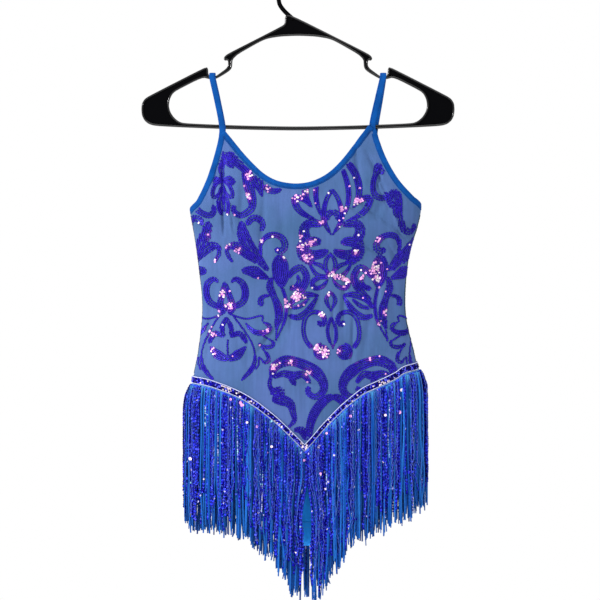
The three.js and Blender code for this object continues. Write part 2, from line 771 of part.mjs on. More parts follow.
// Fringe: strands hung from a narrow tape, in one piece.
function fringe(side) {
  const seam = seamLine(side);
  const top = (TRIM_WIDTH / 2) * SLANT + HEADER_GAP;
  const upper = lowered(seam, top);
  const lower = lowered(seam, top + HEADER_WIDTH);
  const near = TRIM_LIFT;
  const far = TRIM_LIFT + HEADER_THICK;
  let solid = toSolid(strip(upper, lower, near, far));
  const level = lowered(seam, top + ROOT_DEPTH);
  const flat = level.map((p) => tubeFrame(p.turn, p.z, (near + far) / 2));
  let run = 0;
  const marks = flat.map((frame, i) => {
    if (i) run += Math.hypot(frame.point.x - flat[i - 1].point.x, frame.point.y - flat[i - 1].point.y);
    return run;
  });
  const count = Math.floor((run - STRAND_SPACING) / STRAND_SPACING);
  const strands = [];
  for (let k = 0; k < count; k++) {
    const at = (run * (k + 0.5)) / count;
    let i = 1;
    while (marks[i] < at) i++;
    const t = (at - marks[i - 1]) / (marks[i] - marks[i - 1]);
    const root = flat[i - 1].point.clone().lerp(flat[i].point, t);
    const out = flat[i - 1].normal.clone().lerp(flat[i].normal, t).setZ(0).normalize();
    const seed = k + (side > 0 ? 0 : 500);
    const end = read(HEM, "x", "z", root.x) + RAGGED * (chance(seed) - 0.3);
    const sway = STRAND_SWAY * (2 * chance(seed + 90) - 1);
    const centres = STRAND_LEVELS.map(({ part, away }) => {
      const stand = FLARE * away * (0.35 + 0.65 * Math.abs(out.x));
      const z = root.z + (end - root.z) * part;
      return new THREE.Vector3(root.x + out.x * stand + sway * part, root.y + out.y * stand, z);
    });
    strands.push(toSolid(strand(centres)));
  }
  solid = wasm.Manifold.union([solid, ...strands]);
  return toGeometry(solid);
}

// One strand with a few flat sides through level rings.
function strand(centres) {
  const positions = [];
  const triangles = [];
  centres.forEach((centre, level) => {
    for (let k = 0; k < STRAND_SIDES; k++) {
      const a = (2 * Math.PI * k) / STRAND_SIDES + Math.PI / 2;
      const spoke = new THREE.Vector3(Math.cos(a), Math.sin(a), 0).multiplyScalar(STRAND_RADIUS);
      positions.push(centre.clone().add(spoke));
      const next = (k + 1) % STRAND_SIDES;
      if (level) {
        const [low, high] = [(level - 1) * STRAND_SIDES, level * STRAND_SIDES];
        triangles.push([low + k, high + k, high + next], [low + k, high + next, low + next]);
      }
    }
  });
  const last = (centres.length - 1) * STRAND_SIDES;
  for (let k = 1; k < STRAND_SIDES - 1; k++) {
    triangles.push([0, k, k + 1], [last, last + k + 1, last + k]);
  }
  return geometryOf(positions, triangles);
}

const group = new THREE.Group();

function add(name, geometry, color, roughness, metalness = 0) {
  const material = new THREE.MeshStandardMaterial({ color, roughness, metalness });
  const mesh = new THREE.Mesh(geometry, material);
  mesh.name = name;
  group.add(mesh);
}

const SEQUINNED = 0x4460b8;
const PLAIN = 0x1f66c4;
const BOUND = 0x1660be;
const BRAID = 0x2a1fb0;
const STRING = 0x1c5fc0;
const PLASTIC = 0x0b0b0d;

add("hanger", hangerGeometry(), PLASTIC, 0.3);

for (const [name, side] of [["front", 1], ["back", -1]]) {
  const seam = seamLine(side);
  add(name + "_panel", panel(upperEdge(side), lowered(seam, -GAP / 2), PANEL_ROWS), SEQUINNED, 0.5);
  add(name + "_brief", panel(lowered(seam, GAP / 2), lowerEdge(side), BRIEF_ROWS), PLAIN, 0.7);
  const upper = lowered(seam, (-TRIM_WIDTH / 2) * SLANT);
  const lower = lowered(seam, (TRIM_WIDTH / 2) * SLANT);
  add("hip_trim_" + name, strip(upper, lower, TRIM_LIFT, TRIM_LIFT + TRIM_THICK), BRAID, 0.35, 0.3);
  add("fringe_" + name, fringe(side), STRING, 0.5);
}

add("gusset", gusset(), PLAIN, 0.7);

// The neck bindings are cut off a gap away from the strips that they are sewn to.
const cutters = [
  [ARMHOLE_LEFT, STRAP_LEFT],
  [ARMHOLE_RIGHT, STRAP_RIGHT],
].map(([rows, strap]) => toSolid(strapAndArmhole(rows, strap, STRAP_WIDTH + 2 * GAP, 2 * BINDING_THICK)));

add("neck_binding_front", neckBinding(NECK_FRONT, 1, cutters), BOUND, 0.6);
add("neck_binding_back", neckBinding(NECK_BACK, -1, cutters), BOUND, 0.6);
add("strap_binding_left", strapAndArmhole(ARMHOLE_LEFT, STRAP_LEFT, STRAP_WIDTH, STRAP_THICK), BOUND, 0.6);
add("strap_binding_right", strapAndArmhole(ARMHOLE_RIGHT, STRAP_RIGHT, STRAP_WIDTH, STRAP_THICK), BOUND, 0.6);
add("leg_binding_left", legBinding(-1), BOUND, 0.6);
add("leg_binding_right", legBinding(1), BOUND, 0.6);

export default group;
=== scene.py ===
import math
import bpy
import numpy as np
from mathutils.kdtree import KDTree
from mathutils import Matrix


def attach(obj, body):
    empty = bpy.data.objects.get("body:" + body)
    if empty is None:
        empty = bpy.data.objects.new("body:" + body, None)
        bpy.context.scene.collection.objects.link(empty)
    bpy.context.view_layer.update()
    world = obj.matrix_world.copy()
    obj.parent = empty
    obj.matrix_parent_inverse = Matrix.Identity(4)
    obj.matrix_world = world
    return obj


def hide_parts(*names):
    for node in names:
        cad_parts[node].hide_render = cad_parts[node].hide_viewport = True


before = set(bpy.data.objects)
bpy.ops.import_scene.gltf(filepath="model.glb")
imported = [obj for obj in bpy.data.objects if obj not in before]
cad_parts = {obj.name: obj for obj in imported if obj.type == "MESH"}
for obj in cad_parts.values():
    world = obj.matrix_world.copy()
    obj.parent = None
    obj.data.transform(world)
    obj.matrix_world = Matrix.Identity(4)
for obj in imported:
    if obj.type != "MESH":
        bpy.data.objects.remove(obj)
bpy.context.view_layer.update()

# A sequin fringe bodysuit hung on a notched plastic hanger.
# Sizes are millimetres in the CAD frame; meshes are written in metres.
MM = 0.001
rng = np.random.default_rng(7)

CLOTH = 1.4
BINDING_WIDTH = 8.5
BINDING_THICK = 2.4
STRAP_WIDTH = 8.6
STRAP_THICK = 1.8
TRIM_WIDTH = 9.0
SLANT = 1.1
FLATNESS = 0.8
GAP = 0.3
SIDES = (1, "front"), (-1, "back")

SEQUIN_SIDES = 6
TAPE_CORNERS = 16
STITCH_PITCH = 2.4
STRAP_STEPS = 8  # between two points of a strap's route
WAVE_PITCH = 0.31416  # of the wave texture at scale 1

# The suit's tube, as in the CAD.
BODY = np.array([
    # z, left, right, front, back
    (-200, -142, 160, 8, 8),
    (-225, -143, 161, 10, 9),
    (-270, -144, 162, 18, 14),
    (-314, -145, 165, 26, 20),
    (-340, -140.5, 160, 28, 21),
    (-371, -135.5, 150.5, 27, 21),
    (-403, -131.5, 145.5, 24, 20),
    (-436, -128, 143.5, 22, 20),
    (-468, -128.5, 146, 23, 22),
    (-511, -134, 156, 26, 27),
    (-543, -140, 162, 28, 30),
    (-586, -140, 162, 28, 30),
    (-640, -136, 158, 25, 27),
    (-700, -118, 138, 18, 20),
    (-745, -100, 120, 13, 14),
])
Z, LEFT, RIGHT, FRONT, BACK = range(5)

# Soft folds; the first of each side are in the CAD too, the finer ones only here.
FOLDS = np.array([
    # side, x1, z1, x2, z2, width, sink
    (1, -103, -245, -100, -345, 7, 3.2),
    (1, -88, -260, -84, -330, 8, -1.8),
    (1, 118, -300, 100, -330, 6, 2.0),
    (1, -48, -330, -52, -400, 9, 1.8),
    (1, -12, -470, -38, -505, 8, 1.6),
    (1, 62, -440, 66, -520, 9, 1.6),
    (1, 128, -400, 132, -500, 9, 2.2),
    (1, -112, -400, -114, -490, 9, 2.2),
    (1, -99, -246, -101, -312, 2.6, 2.6),
    (1, -101, -308, -99, -352, 1.8, 2.6),
    (1, -89, -322, -87, -346, 1.6, 2.0),
    (1, -92, -300, -88, -352, 3, -1.6),
    (1, 112, -262, 104, -292, 2.0, 2.2),
    (1, 66, -312, 98, -336, 1.5, 1.5),
    (1, 78, -360, 118, -384, 2.0, 1.5),
    (1, 128, -340, 150, -366, 2.4, 2.6),
    (1, 134, -360, 141, -420, 3.0, 2.6),
    (1, 122, -366, 136, -400, 2.4, 2.2),
    (1, -6, -412, -10, -480, 2.6, 1.4),
    (1, 74, -456, 72, -520, 2.4, 1.6),
    (1, 46, -440, 48, -500, 2.2, 1.2),
    (1, -26, -470, -58, -512, 2.6, 1.5),
    (1, -110, -262, -112, -330, 3.5, 1.6),
    (1, 76, -228, 84, -292, 4, 1.8),
    (1, 92, -240, 118, -296, 2.6, 2.4),
    (1, 101, -276, 122, -318, 2.2, 1.9),
    (1, 78, -303, 108, -332, 1.8, 1.6),
    (1, 96, -318, 128, -342, 2.4, 1.7),
    (1, 128, -322, 138, -352, 3, -1.5),
    (1, -72, -270, -78, -352, 4, 1.2),
    (1, -45, -300, -50, -372, 3.5, 1.2),
    (1, -20, -300, -24, -380, 5, 1.2),
    (1, 63, -400, 60, -476, 3.5, 1.6),
    (1, 30, -400, 26, -470, 5, 1.3),
    (1, -70, -420, -66, -520, 5, 1.5),
    (1, -90, -470, -60, -540, 5, 1.4),
    (1, 100, -440, 84, -530, 5, 1.6),
    (1, 112, -372, 104, -450, 4, 1.7),
    (1, 10, -500, 9, -600, 6, 1.4),
    (1, -4, -548, 30, -552, 2.5, 0.9),
    (1, -120, -330, -112, -390, 4, 1.6),
    (1, 138, -330, 128, -390, 4, 1.8),
    (1, -116, -440, -122, -520, 3.5, 1.6),
    (-1, -95, -290, -90, -380, 8, 2.6),
    (-1, 108, -290, 100, -380, 8, 2.6),
    (-1, -20, -400, -25, -490, 10, 2.0),
    (-1, 50, -390, 56, -480, 10, 2.0),
    (-1, -60, -350, -66, -420, 4, 1.6),
    (-1, 20, -360, 16, -440, 5, 1.3),
    (-1, 84, -430, 70, -520, 5, 1.5),
    (-1, -100, -440, -84, -530, 5, 1.5),
    (-1, 96, -300, 116, -350, 3, 1.8),
    (-1, -96, -296, -112, -346, 3, 1.8),
    (-1, -20, -500, -10, -590, 5, 1.3),
    (-1, 128, -400, 134, -500, 8, 1.6),
    (-1, -112, -400, -118, -500, 8, 1.6),
])

FINE_WIDTH, FINE_DEPTH = 5, 1.6  # narrower folds are this much deeper than stated

NECK_FRONT = [(-101, -214), (-91, -226), (-76, -244.5), (-62, -259.5), (-49, -271.5),
              (-35, -280), (-21, -284.5), (-3, -286.5), (15, -284.5), (30, -279),
              (44, -270.5), (57.5, -258), (71, -242), (85, -223), (98, -206)]
NECK_BACK = [(-103, -246), (-88, -275), (-66, -306), (-35, -330), (1, -338),
             (37, -330), (68, -306), (88, -275), (99, -246)]
ARMHOLE_LEFT = {
    "front": [(-136, -311), (-128, -299), (-120.5, -283), (-114.6, -268), (-109.3, -251),
              (-104.3, -232), (-101.8, -220)],
    "under": -320,
    "back": [(-137, -312), (-128, -300), (-117, -283), (-108, -266), (-103, -250)],
}
ARMHOLE_RIGHT = {
    "front": [(157, -306), (148, -298), (135, -284), (123, -266.5), (112.5, -246),
              (105, -226), (102.2, -216)],
    "under": -314,
    "back": [(156, -309), (146, -298), (127, -283), (109, -266), (99.5, -250)],
}
# Both straps, from the front over the hanger to the back: y, z and the way the outer face looks,
# 0 to the front, 90 up and 180 to the back. Their x follows.
STRAP = [(-5, -204, 0), (-4.9, -170, 0), (-4.8, -142, 0), (-3.9, -136, 45), (0, -134.6, 90),
         (3.9, -136, 135), (4.8, -142, 180), (4.9, -170, 180), (5, -204, 180), (5.6, -230, 180)]
STRAP_LEFT = [-101.3, -108, -114.2, -114.6, -114.6, -114.6, -114.2, -108, -101.8, -101.6]
STRAP_RIGHT = [99.6, 106.8, 113.4, 114.2, 114.2, 114.2, 114, 109.6, 103.8, 101]
SEAM = [(-140, -544), (-124, -547.5), (-100, -555), (-76, -565), (-58, -575.5),
        (-45, -585), (-30, -597), (-16, -610), (-4, -622), (9, -635),
        (21, -622), (31, -610), (46, -594), (61, -579.5), (84, -561),
        (100, -553), (117, -545.5), (131, -538.5), (144, -530.5), (161, -525)]
SEAM_POINT = 9
HEM = np.array([(-152, -742), (-111, -747), (-91, -750), (-68, -758), (-56, -771),
                (-35, -789), (-20, -810), (0, -828), (12, -832), (24, -828),
                (42, -808), (56, -789), (70, -768), (87, -757), (110, -747),
                (143, -728), (174, -708)], float)
MIDDLE = 9
LEG_FRONT = [(142, -611), (130, -624), (108, -648), (84, -673), (60, -695), (43, -711), (36.5, -722)]
LEG_BACK = [(142, -612), (132, -630), (112, -658), (88, -683), (62, -702), (43.5, -713), (36.5, -722)]
LEG_SIDE = -606
GUSSET = {"top": -733, "drop": 34, "half": 30, "narrow": 4, "front": 14.3, "back": 15.3}


# Where a side's lines start, at the left side seam, as a turn round the body.
LEFT_TURN = {1: -90, -1: 270}


# Reading tables and the tube.

def read(table, by, key, at):
    """A column's value between two rows, along a smooth curve, for an array of places."""
    rows = table if table[-1, by] > table[0, by] else table[::-1]
    xs, ys = rows[:, by], rows[:, key]
    slope = np.empty(len(xs))
    slope[1:-1] = (ys[2:] - ys[:-2]) / (xs[2:] - xs[:-2])
    slope[0] = (ys[1] - ys[0]) / (xs[1] - xs[0])
    slope[-1] = (ys[-1] - ys[-2]) / (xs[-1] - xs[-2])
    at = np.clip(np.asarray(at, float), xs[0], xs[-1])
    i = np.clip(np.searchsorted(xs, at) - 1, 0, len(xs) - 2)
    span = xs[i + 1] - xs[i]
    t = (at - xs[i]) / span
    bend = t * (1 - t) * (1 - t) * span * slope[i] + t * t * (t - 1) * span * slope[i + 1]
    return ys[i] + (ys[i + 1] - ys[i]) * eased(t) + bend


def fold_at(side, x, z):
    """How far the folds of a side sink the cloth."""
    sink = np.zeros_like(x)
    for s, x1, z1, x2, z2, width, depth in FOLDS:
        along = np.array([x2 - x1, z2 - z1])
        reach = np.hypot(*along)
        along = along / reach
        t = np.clip(((x - x1) * along[0] + (z - z1) * along[1]) / reach, 0, 1)
        away = np.hypot(x - x1 - along[0] * reach * t, z - z1 - along[1] * reach * t)
        taper = np.sin(np.pi * np.clip(0.1 + 0.8 * t, 0, 1))
        sharper = FINE_DEPTH if width < FINE_WIDTH else 1
        sink += np.where(side == s, sharper * depth * taper * np.exp(-((away / width) ** 2)), 0)
    return sink


def tube_point(turn, z):
    """Points of the tube: turn is 0 at the front, -90 and 90 at the sides, 180 at the back."""
    turn, z = np.broadcast_arrays(np.asarray(turn, float), np.asarray(z, float))
    a = np.radians(turn)
    left, right = read(BODY, Z, LEFT, z), read(BODY, Z, RIGHT, z)
    ahead = np.cos(a)
    side = np.where(ahead >= 0, 1, -1)
    depth = np.where(side > 0, read(BODY, Z, FRONT, z), read(BODY, Z, BACK, z))
    x = (left + right) / 2 + (right - left) / 2 * np.sin(a)
    out = np.abs(ahead) ** FLATNESS
    y = -side * (depth * out - out * fold_at(side, x, z))
    return np.stack([x, y, z], -1)


def unit(v):
    return v / np.maximum(np.linalg.norm(v, axis=-1, keepdims=True), 1e-9)


def circle(corners):
    """The corners of a unit circle."""
    a = np.linspace(0, 2 * np.pi, corners, endpoint=False)
    return np.stack([np.cos(a), np.sin(a)], 1)


def tube_frame(turn, z, lift=0.0):
    """Points above the tube, and the way out of it there."""
    step = 0.5
    across = tube_point(turn + step, z) - tube_point(turn - step, z)
    up = tube_point(turn, z + step) - tube_point(turn, z - step)
    normal = unit(np.cross(across, up))
    return tube_point(turn, z) + normal * np.asarray(lift)[..., None], normal


def turn_at(side, x, z):
    """The turn round the body of a place that is seen from one side."""
    left, right = read(BODY, Z, LEFT, z), read(BODY, Z, RIGHT, z)
    turn = np.degrees(np.arcsin(np.clip((x - (left + right) / 2) / ((right - left) / 2), -1, 1)))
    return turn if side > 0 else 180 - turn


def through(points, steps):
    """A smooth curve through points, with as many steps between each two."""
    p = np.asarray(points, float)
    ends = np.vstack([2 * p[0] - p[1], p, 2 * p[-1] - p[-2]])
    t = np.linspace(0, 1, steps, endpoint=False)[:, None]
    return np.vstack([0.5 * (2 * b + (c - a) * t + (2 * a - 5 * b + 4 * c - d) * t ** 2
                             + (3 * b - a - 3 * c + d) * t ** 3)
                      for a, b, c, d in zip(ends, ends[1:], ends[2:], ends[3:])])


# Lines are arrays of points; on the tube they hold (turn, z).

def smooth_line(points, steps):
    """A smooth curve through points, evenly spaced."""
    return respaced(np.vstack([through(points, 24), points[-1:]]), steps)


def distance_along(points):
    return np.concatenate([[0], np.cumsum(np.linalg.norm(np.diff(points, axis=0), axis=1))])


def respaced(line, steps, metric=None, rule=None):
    """A line in steps that are even, or follow a rule, where a metric gives its points."""
    length = distance_along(line if metric is None else metric(line))
    u = np.linspace(0, 1, steps + 1)
    at = (u if rule is None else rule(u)) * length[-1]
    return np.stack([np.interp(at, length, line[:, k]) for k in range(line.shape[1])], 1)


def on_tube(line):
    return tube_point(line[:, 0], line[:, 1])


def off_tube(line, lift=0.0):
    """Points above a line on the tube, and the way out of it there."""
    return tube_frame(line[:, 0], line[:, 1], lift)


def raised(line, steps, lift):
    """Points in even steps above a line on the tube, and the way out of it there."""
    return off_tube(respaced(line, steps, on_tube), lift)


def tube_line(places, steps):
    """A smooth line on the tube, where a degree is about 2 mm."""
    scaled = np.asarray(places, float) * (2, 1)
    return respaced(smooth_line(scaled, 300) / (2, 1), steps, on_tube)


def from_side(u):
    return u ** 1.5


def to_side(u):
    return 1 - (1 - u) ** 1.5


def eased(u):
    return u * u * (3 - 2 * u)


def beside(line, distance):
    """A line on the tube moved to its left as it runs, seen from outside."""
    points, normals = tube_frame(line[:, 0], line[:, 1])
    left = unit(np.cross(normals, unit(np.gradient(points, axis=0))))
    step = 0.5
    turned = tube_point(line[:, 0] + step, line[:, 1]) - points
    raised = tube_point(line[:, 0], line[:, 1] + step) - points
    per_degree = np.linalg.norm(turned, axis=1) / step
    per_height = np.linalg.norm(raised, axis=1) / step
    turn = line[:, 0] + distance * np.sum(left * unit(turned), 1) / per_degree
    return np.stack([turn, line[:, 1] + distance * left[:, 2] / per_height], 1)


def places(side, rows):
    """Rows of x and z as turns and z."""
    rows = np.asarray(rows, float)
    return np.stack([turn_at(side, rows[:, 0], rows[:, 1]), rows[:, 1]], 1)


def neck_line(side):
    return tube_line(places(side, NECK_FRONT if side > 0 else NECK_BACK), 240)


def armhole_line(rows):
    """An armhole's binding, from the back under the arm to the front."""
    left = rows["front"][0][0] < 0
    back = places(-1, rows["back"][::-1])
    if left:
        back[:, 0] -= 360
    middle = [(-90 if left else 90, rows["under"])]
    return tube_line(np.vstack([back, middle, places(1, rows["front"])]), 240)


def seam_line(side, steps):
    """The V seam from the left side to the right, with the steps closer near the side seams."""
    p = places(side, SEAM)
    p[0, 0] = LEFT_TURN[side]
    p[-1, 0] = 90
    left = respaced(tube_line(p[:SEAM_POINT + 1], 200), steps, on_tube, from_side)
    right = respaced(tube_line(p[SEAM_POINT:], 200), steps, on_tube, to_side)
    return np.vstack([left, right[1:]])


def leg_line(side, leg):
    """A leg's binding on one side, from the hip to the gusset; leg is -1 on the left and 1 on the right."""
    edge = GUSSET["half"] + GAP + BINDING_WIDTH / 2
    rows = [(MIDDLE + leg * out, z) for out, z in (LEG_FRONT if side > 0 else LEG_BACK)]
    rows.append((MIDDLE + leg * edge, GUSSET["top"]))
    start = 90 if leg > 0 else LEFT_TURN[side]
    return tube_line(np.vstack([[(start, LEG_SIDE)], places(side, rows)]), 200)


def lowered(line, drop):
    return line - (0, drop)


def height_of(line, turn, beyond=None):
    """The height of a line on the tube at some turns."""
    order = np.argsort(line[:, 0])
    return np.interp(turn, line[order, 0], line[order, 1], left=beyond, right=beyond)


def below(line, other):
    return line[line[:, 1] <= height_of(other, line[:, 0], np.inf)]


def upper_edge(side, clear, arm_steps, neck_steps):
    """A panel's upper edge, a distance away from the middle of the bindings."""
    def half(line):
        front = np.abs(line[:, 0]) <= 90
        part = line[front if side > 0 else ~front]
        return part if side > 0 else np.stack([part[:, 0] % 360, part[:, 1]], 1)
    left = half(beside(armhole_line(ARMHOLE_LEFT), -clear))
    right = half(beside(armhole_line(ARMHOLE_RIGHT), clear))
    left = left if side > 0 else left[::-1]
    right = right[::-1] if side > 0 else right
    neck = beside(neck_line(side), -clear * side)
    left_part, right_part = below(left, neck), below(right, neck)
    neck_part = below(below(neck, left), right)
    left_part[0, 0] = LEFT_TURN[side]
    right_part[-1, 0] = 90
    return np.vstack([
        respaced(left_part, arm_steps, on_tube, from_side),
        respaced(neck_part, neck_steps, on_tube)[1:-1],
        respaced(right_part, arm_steps, on_tube, to_side),
    ])


def lower_edge(side, clear, leg_steps, seam_steps):
    """A brief's lower edge, a distance away from the middle of the bindings."""
    left = beside(leg_line(side, -1), clear * side)
    right = beside(leg_line(side, 1), -clear * side)[::-1]
    left[0, 0] = LEFT_TURN[side]
    right[-1, 0] = 90
    half = GUSSET["half"] + 2
    top = GUSSET["top"]
    left[-1], right[0] = [(turn_at(side, MIDDLE + out, top), top) for out in (-half, half)]
    hem = np.linspace(left[-1], right[0], seam_steps + 1)
    return np.vstack([
        respaced(left, leg_steps, on_tube, eased),
        hem[1:-1],
        respaced(right, leg_steps, on_tube, eased),
    ])


# Meshes.

def make_object(name, shape, materials, slots=None, smooth=True, colours=None):
    """An object from points in mm and lists of faces that each have the same number of corners."""
    verts, faces = shape
    verts = np.asarray(verts, float).reshape(-1, 3) * MM
    groups = faces if isinstance(faces, list) else [faces]
    mesh = bpy.data.meshes.new(name)
    mesh.from_pydata(verts, [], [face for group in groups for face in group.tolist()])
    for material in materials:
        mesh.materials.append(material)
    if slots is not None:
        mesh.polygons.foreach_set("material_index", np.asarray(slots, int))
    mesh.polygons.foreach_set("use_smooth", np.full(len(mesh.polygons), smooth))
    if colours is not None:
        layer = mesh.color_attributes.new("tint", "FLOAT_COLOR", "POINT")
        rgba = np.ones((len(verts), 4))
        rgba[:, :3] = np.asarray(colours).reshape(len(verts), -1)
        layer.data.foreach_set("color", rgba.ravel())
    mesh.validate()
    obj = bpy.data.objects.new(name, mesh)
    bpy.context.scene.collection.objects.link(obj)
    return obj


def add_piece(name, shape, materials, slot, solid=None, **more):
    """A piece of the part, in place of its solid; the slot is not used."""
    piece = make_object(name, shape, materials, **more)
    if solid:
        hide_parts(solid)
    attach(piece, "root")


def wall_mesh(outer, inner):
    """Points and faces of a closed wall between two grids of the same size; the outer faces come first."""
    rows, cols = outer.shape[:2]
    verts = np.vstack([outer.reshape(-1, 3), inner.reshape(-1, 3)])
    n = rows * cols
    grid = np.arange(n).reshape(rows, cols)
    a, b, c, d = grid[:-1, :-1], grid[:-1, 1:], grid[1:, 1:], grid[1:, :-1]
    front = np.stack([a, d, c, b], -1).reshape(-1, 4)
    back = np.stack([a, b, c, d], -1).reshape(-1, 4) + n
    ring = np.concatenate([grid[0, :], grid[1:, -1], grid[-1, -2::-1], grid[-2:0:-1, 0]])
    after = np.roll(ring, -1)
    edge = np.stack([ring, after, after + n, ring + n], -1)
    return verts, np.vstack([front, back, edge])


def cloth_wall(word, points, normals, outside, slot, solid):
    """Cloth whose outer face goes through a grid of points."""
    shape = wall_mesh(points, points - normals * CLOTH)
    outer_faces = (points.shape[0] - 1) * (points.shape[1] - 1)
    inside = np.arange(len(shape[1])) >= outer_faces
    add_piece(word + "_cloth", shape, [outside, LINING], slot, solid, slots=inside)


def cloth_panel(word, top, bottom, rows, outside, slot, solid):
    """Cloth between two lines on the tube."""
    t = np.linspace(0, 1, rows + 1)[:, None]
    turn = top[None, :, 0] + (bottom[None, :, 0] - top[None, :, 0]) * eased(t)
    z = top[None, :, 1] + (bottom[None, :, 1] - top[None, :, 1]) * t
    cloth_wall(word, *tube_frame(turn, z), outside, slot, solid)


def sweep(points, normals, section, closed):
    """Points and faces of a section, given as (across, out) pairs, swept along a route."""
    if closed:
        along = unit(np.roll(points, -1, 0) - np.roll(points, 1, 0))
    else:
        along = unit(np.gradient(points, axis=0))
    left = unit(np.cross(normals, along))
    out = np.cross(along, left)
    section = np.broadcast_to(section, (len(points), *np.shape(section)[-2:]))
    verts = points[:, None] + left[:, None] * section[..., :1] + out[:, None] * section[..., 1:]
    grid = np.arange(verts.shape[0] * verts.shape[1]).reshape(verts.shape[:2])
    here = grid if closed else grid[:-1]
    there = np.roll(grid, -1, 0) if closed else grid[1:]
    quads = np.stack([here, np.roll(here, -1, 1), np.roll(there, -1, 1), there], -1).reshape(-1, 4)
    caps = [] if closed else [np.stack([grid[0][::-1], grid[-1]])]
    return verts.reshape(-1, 3), [quads, *caps]


def join(parts):
    """Several (points, face lists) as one."""
    verts, faces, base = [], {}, 0
    for points, groups in parts:
        verts.append(points)
        for group in groups:
            group = np.asarray(group, int)
            faces.setdefault(group.shape[1], []).append(group + base)
        base += len(points)
    return np.vstack(verts), [np.vstack(g) for g in faces.values()]


def rounded(width, thick):
    """A flat section with full round edges."""
    c = circle(TAPE_CORNERS)
    return np.sign(c) * np.abs(c) ** (0.45, 0.7) * (width / 2, thick / 2)


def discs(centres, normals, radius, sides=SEQUIN_SIDES, dish=0.0):
    """Sequins: one flat or dished disc at each centre."""
    n = len(centres)
    helper = np.where(np.abs(normals[:, 2:3]) < 0.9, [[0.0, 0.0, 1.0]], [[1.0, 0.0, 0.0]])
    u = unit(np.cross(helper, normals))
    v = np.cross(normals, u)
    a = np.linspace(0, 2 * np.pi, sides, endpoint=False)[None, :] + rng.uniform(0, 2 * np.pi, (n, 1))
    r = np.broadcast_to(np.asarray(radius, float), (n,))[:, None, None]
    rim = centres[:, None] + r * (np.cos(a)[..., None] * u[:, None] + np.sin(a)[..., None] * v[:, None])
    if not dish:
        return rim.reshape(-1, 3), [np.arange(n * sides).reshape(n, sides)]
    verts = np.concatenate([rim, (centres - normals * dish)[:, None]], 1).reshape(-1, 3)
    base = np.arange(n)[:, None] * (sides + 1)
    k = np.arange(sides)[None, :]
    faces = np.stack([base + k, base + (k + 1) % sides, np.broadcast_to(base + sides, (n, sides))], -1)
    return verts, [faces.reshape(-1, 3)]


# Materials.

def new_material(name, colour, roughness, metallic=0.0):
    material = bpy.data.materials.new(name)
    material.use_nodes = True
    shader = material.node_tree.nodes["Principled BSDF"]
    feed(shader, Base_Color=(*colour, 1), Roughness=roughness, Metallic=metallic)
    return material, material.node_tree, shader


def feed(target, **inputs):
    """Sets a node's inputs to values, or links them to the outputs of other nodes."""
    for name, value in inputs.items():
        socket = target.inputs[name.replace("_", " ")]
        if isinstance(value, bpy.types.NodeSocket):
            target.id_data.links.new(value, socket)
        else:
            socket.default_value = value


def node(tree, kind, **inputs):
    made = tree.nodes.new(kind)
    feed(made, **inputs)
    return made


def object_coordinates(tree, scale):
    place = tree.nodes.new("ShaderNodeTexCoord").outputs["Object"]
    return node(tree, "ShaderNodeMapping", Vector=place, Scale=scale).outputs["Vector"]


def noise(tree, scale, detail, stretch=(1, 1, 1)):
    place = object_coordinates(tree, stretch)
    return node(tree, "ShaderNodeTexNoise", Vector=place, Scale=scale, Detail=detail).outputs["Fac"]


def waves(tree, direction, pitch, distortion):
    """Ridges that stand a pitch apart, in metres."""
    place = object_coordinates(tree, [WAVE_PITCH / pitch] * 3)
    made = node(tree, "ShaderNodeTexWave", Vector=place, Scale=1.0, Distortion=distortion, Detail=1.0)
    made.bands_direction = direction
    return made.outputs["Fac"]


def spread(tree, value, low, high, start=0.0, end=1.0):
    """A value stretched from one range to another."""
    made = node(tree, "ShaderNodeMapRange", Value=value, From_Min=start, From_Max=end,
                To_Min=low, To_Max=high)
    return made.outputs["Result"]


def scaled(tree, colour, factor):
    made = tree.nodes.new("ShaderNodeVectorMath")
    made.operation = "SCALE"
    feed(made, Vector=colour, Scale=factor)
    return made.outputs["Vector"]


def bump(tree, height, strength, depth):
    return node(tree, "ShaderNodeBump", Height=height, Strength=strength, Distance=depth).outputs["Normal"]


def mottled(tree, dark, light, scale, detail=4.0, stretch=(1, 1, 1)):
    """Colour that drifts softly between two shades."""
    ramp = node(tree, "ShaderNodeValToRGB", Fac=noise(tree, scale, detail, stretch))
    for element, position, colour in zip(ramp.color_ramp.elements, (0.32, 0.68), (dark, light)):
        element.position = position
        element.color = (*colour, 1)
    return ramp.outputs["Color"]


def cloth_material(name, dark, light, roughness, sheen, pitch, scale=14.0, specular=0.15):
    """Fine knit: drifting colour with upright streaks, over two crossed waves."""
    material, tree, shader = new_material(name, light, roughness)
    streaks = spread(tree, noise(tree, 260.0, 4.0, (1, 1, 0.07)), 0.93, 1.07, 0.3, 0.7)
    knit = tree.nodes.new("ShaderNodeMath")
    knit.operation = "MULTIPLY"
    for socket, direction in zip(knit.inputs, "XZ"):
        tree.links.new(waves(tree, direction, pitch, 0.6), socket)
    feed(shader, Base_Color=scaled(tree, mottled(tree, dark, light, scale), streaks),
         Normal=bump(tree, knit.outputs["Value"], 0.35, 0.0004), Specular_IOR_Level=specular,
         Sheen_Weight=sheen, Sheen_Roughness=0.4, Sheen_Tint=(0.75, 0.82, 0.9, 1))
    return material


